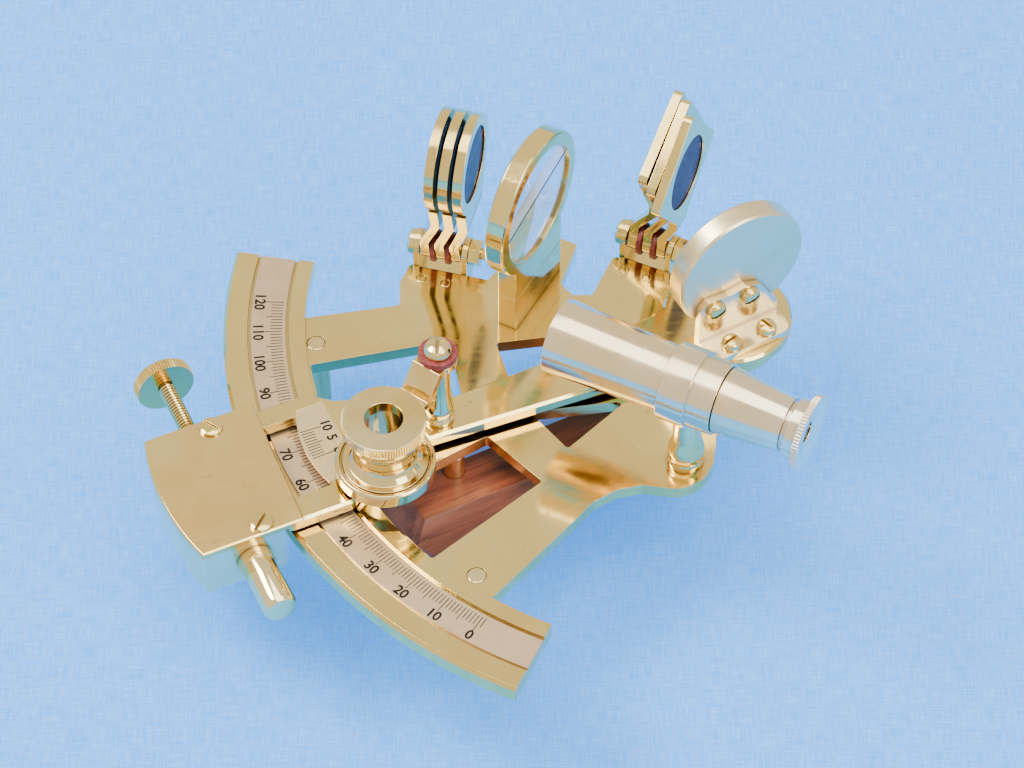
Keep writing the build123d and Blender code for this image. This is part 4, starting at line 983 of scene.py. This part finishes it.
@dataclass
class Studio:
    """The floor, the lights and the camera.

    Args:
        camera_place: The camera's place in millimetres.
        right, up, back: The camera's own axes.
        focal: The lens in millimetres.
        sensor: The sensor's width in millimetres.
        floor_reach: How far the floor runs each way in metres.
        target: What the lights point at, in metres.
        sky_colour: The colour of the light from all around.
        sky_strength: Its strength.
    """

    camera_place: Triple = (-309.607, -476.483, 686.268)
    right: Triple = (0.887322, -0.461142, 0.002494)
    up: Triple = (0.352064, 0.680912, 0.642191)
    back: Triple = (-0.297839, -0.568953, 0.766540)
    focal: float = 118.377
    sensor: float = 36.0
    floor_reach: float = 3.0
    target: Triple = (-0.06, 0.0, 0.04)
    sky_colour: Triple = (1.0, 0.92, 0.77)
    sky_strength: float = 1.05

    def camera(self) -> None:
        """Makes the camera."""
        data = bpy.data.cameras.new("camera")
        data.lens = self.focal
        data.sensor_width = self.sensor
        data.clip_start, data.clip_end = 0.01, 50.0
        seen = bpy.data.objects.new("camera", data)
        bpy.context.scene.collection.objects.link(seen)
        turn = Matrix((self.right, self.up, self.back)).transposed().to_4x4()
        seen.matrix_world = Matrix.Translation(Vector(self.camera_place) * MM) @ turn
        bpy.context.scene.camera = seen

    def lamp(
        self, name: str, place: Triple, size: tuple[float, float], power: float, colour: Triple
    ) -> None:
        """Makes a soft rectangular light that points at the object.

        Args:
            name: The light's name.
            place: Its place in metres.
            size: Its width and height in metres.
            power: Its power in watts.
            colour: Its colour.
        """
        data = bpy.data.lights.new(name, "AREA")
        data.shape = "RECTANGLE"
        data.size, data.size_y = size
        data.energy = power
        data.color = colour
        light = bpy.data.objects.new(name, data)
        bpy.context.scene.collection.objects.link(light)
        aim = Vector(self.target) - Vector(place)
        turn = aim.to_track_quat("-Z", "Y").to_matrix().to_4x4()
        light.matrix_world = Matrix.Translation(place) @ turn

    def build(self, ground: Material) -> None:
        """Makes the floor, lights, sky and camera.

        Args:
            ground: The floor's finish.
        """
        corners = np.array([[-1.0, -1.0, 0.0], [1.0, -1.0, 0.0], [1.0, 1.0, 0.0], [-1.0, 1.0, 0.0]])
        floor = mesh_object("floor", corners * self.floor_reach, np.array([[0, 1, 2, 3]]))
        floor.data.materials.append(ground)
        self.lamp("key", (-0.75, 0.55, 1.25), (0.7, 0.5), 24.0, (1.0, 0.98, 0.95))
        self.lamp("front", (0.35, -1.1, 1.0), (0.7, 0.7), 10.0, (0.97, 0.98, 1.0))
        self.lamp("top", (0.0, -0.1, 1.6), (1.2, 1.2), 16.0, (0.98, 0.99, 1.0))
        world = bpy.data.worlds.new("sky")
        world.use_nodes = True
        sky = world.node_tree.nodes["Background"]
        sky.inputs["Color"].default_value = (*self.sky_colour, 1.0)
        sky.inputs["Strength"].default_value = self.sky_strength
        bpy.context.scene.world = world
        self.camera()


@dataclass
class Sextant:
    """The whole instrument: every solid's finish and every added surface.

    Args:
        nodes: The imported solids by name.
    """

    nodes: dict[str, SceneObject]

    def finishes(self) -> dict[str, Material]:
        """One material for each kind of finish, by name."""
        kinds = (
            Brass("brass_plate", turn=20.0),
            Brass("brass_turned", gloss=0.05, grain=(1500.0, 1500.0, 220.0), light=(0.98, 0.82, 0.44)),
            Brass("brass_polished_pale", gloss=0.11, grain=(220.0, 1500.0, 1500.0), turn=54.6,
                  light=(1.0, 0.87, 0.65), deep=(1.0, 0.77, 0.44)),
            # The threaded finish's near-reaching, strong corner darkening is painted shade in the thread's
            # roots.
            ThreadedBrass("brass_threaded", gloss=0.10, corner=0.0009, shade_and_patina=0.95),
            Brass("brass_satin", gloss=0.25, light=(0.98, 0.85, 0.55), deep=(0.92, 0.72, 0.38)),
            Brass("brass_lacquered", gloss=0.09, deep=(0.95, 0.64, 0.22)),
            Brass("brass_cast", gloss=0.14, light=(1.0, 0.87, 0.62), deep=(0.96, 0.76, 0.44)),
            EngravedBrass("strip_brass"),
            EngravedBrass("vernier_brass", light=(0.88, 0.70, 0.40), deep=(0.78, 0.58, 0.29), gloss=0.22),
            Rosewood("oiled_rosewood"),
            Fibre("red_fibre_washer"),
            Glass("smoke_blue_glass", (0.050, 0.050, 0.095), 0.0, bend=1.14, shine=0.1),
            Glass("clear_glass", (0.93, 0.97, 0.96), 1.0),
            Glass("half_silver", (0.84, 0.90, 0.95), 0.80),
            Glass("frosted_glass", (0.94, 0.94, 1.0), 0.55, 0.22),
            Silvering("mirror_silver"),
            Paint("black_filling"),
            Cloth("blue_cloth"),
        )
        return {kind.name: kind.material() for kind in kinds}

    def finish_of(self, node: str) -> str:
        """The finish's name for a solid.

        Args:
            node: The solid's name.

        Returns:
            The name of one of the finishes.
        """
        fixed = {
            "arc_scale": "strip_brass",
            "vernier_plate": "vernier_brass",
            "handle_grip": "oiled_rosewood",
            "shade_washers": "red_fibre_washer",
            "magnifier_washer": "red_fibre_washer",
            "index_mirror_glass": "mirror_silver",
            "horizon_mirror_glass": "clear_glass",
            "clamp_cover": "brass_lacquered",
            "tangent_screw": "brass_threaded",
            "index_mirror_case": "brass_satin",
            "index_mirror_bracket": "brass_cast",
            "clamp_block": "brass_cast",
        }
        if node in fixed:
            return fixed[node]
        if "shade_glass" in node:
            return "smoke_blue_glass"
        if "lens" in node:
            return "clear_glass"
        if node.startswith("telescope") and node != "telescope_post":
            return "brass_polished_pale"
        if node.startswith(("telescope", "magnifier", "limb_legs", "pivot", "handle", "clamp_cylinder")):
            return "brass_turned"
        return "brass_plate"

    def build(self) -> None:
        """Dresses the solids and adds the cut lines, figures and silvering."""
        finishes = self.finishes()
        for name, solid in self.nodes.items():
            solid.data.materials.clear()
            solid.data.materials.append(finishes[self.finish_of(name)])
            log.info("solid %s gets %s", name, self.finish_of(name))
        SolidDressing().apply(self.nodes, {"arc_scale", "vernier_plate", "tangent_screw"})
        Scale().build(finishes["black_filling"])
        Vernier().build(finishes["black_filling"])
        HorizonSilvering().build(
            finishes["half_silver"], finishes["frosted_glass"], finishes["black_filling"]
        )
        Studio().build(finishes["blue_cloth"])


def main() -> None:
    """Builds the sub-assemblies in order and reports each piece."""
    logging.basicConfig(level=logging.INFO)
    Sextant(FRAME["nodes"]).build()


if __name__ == "__main__":
    main()
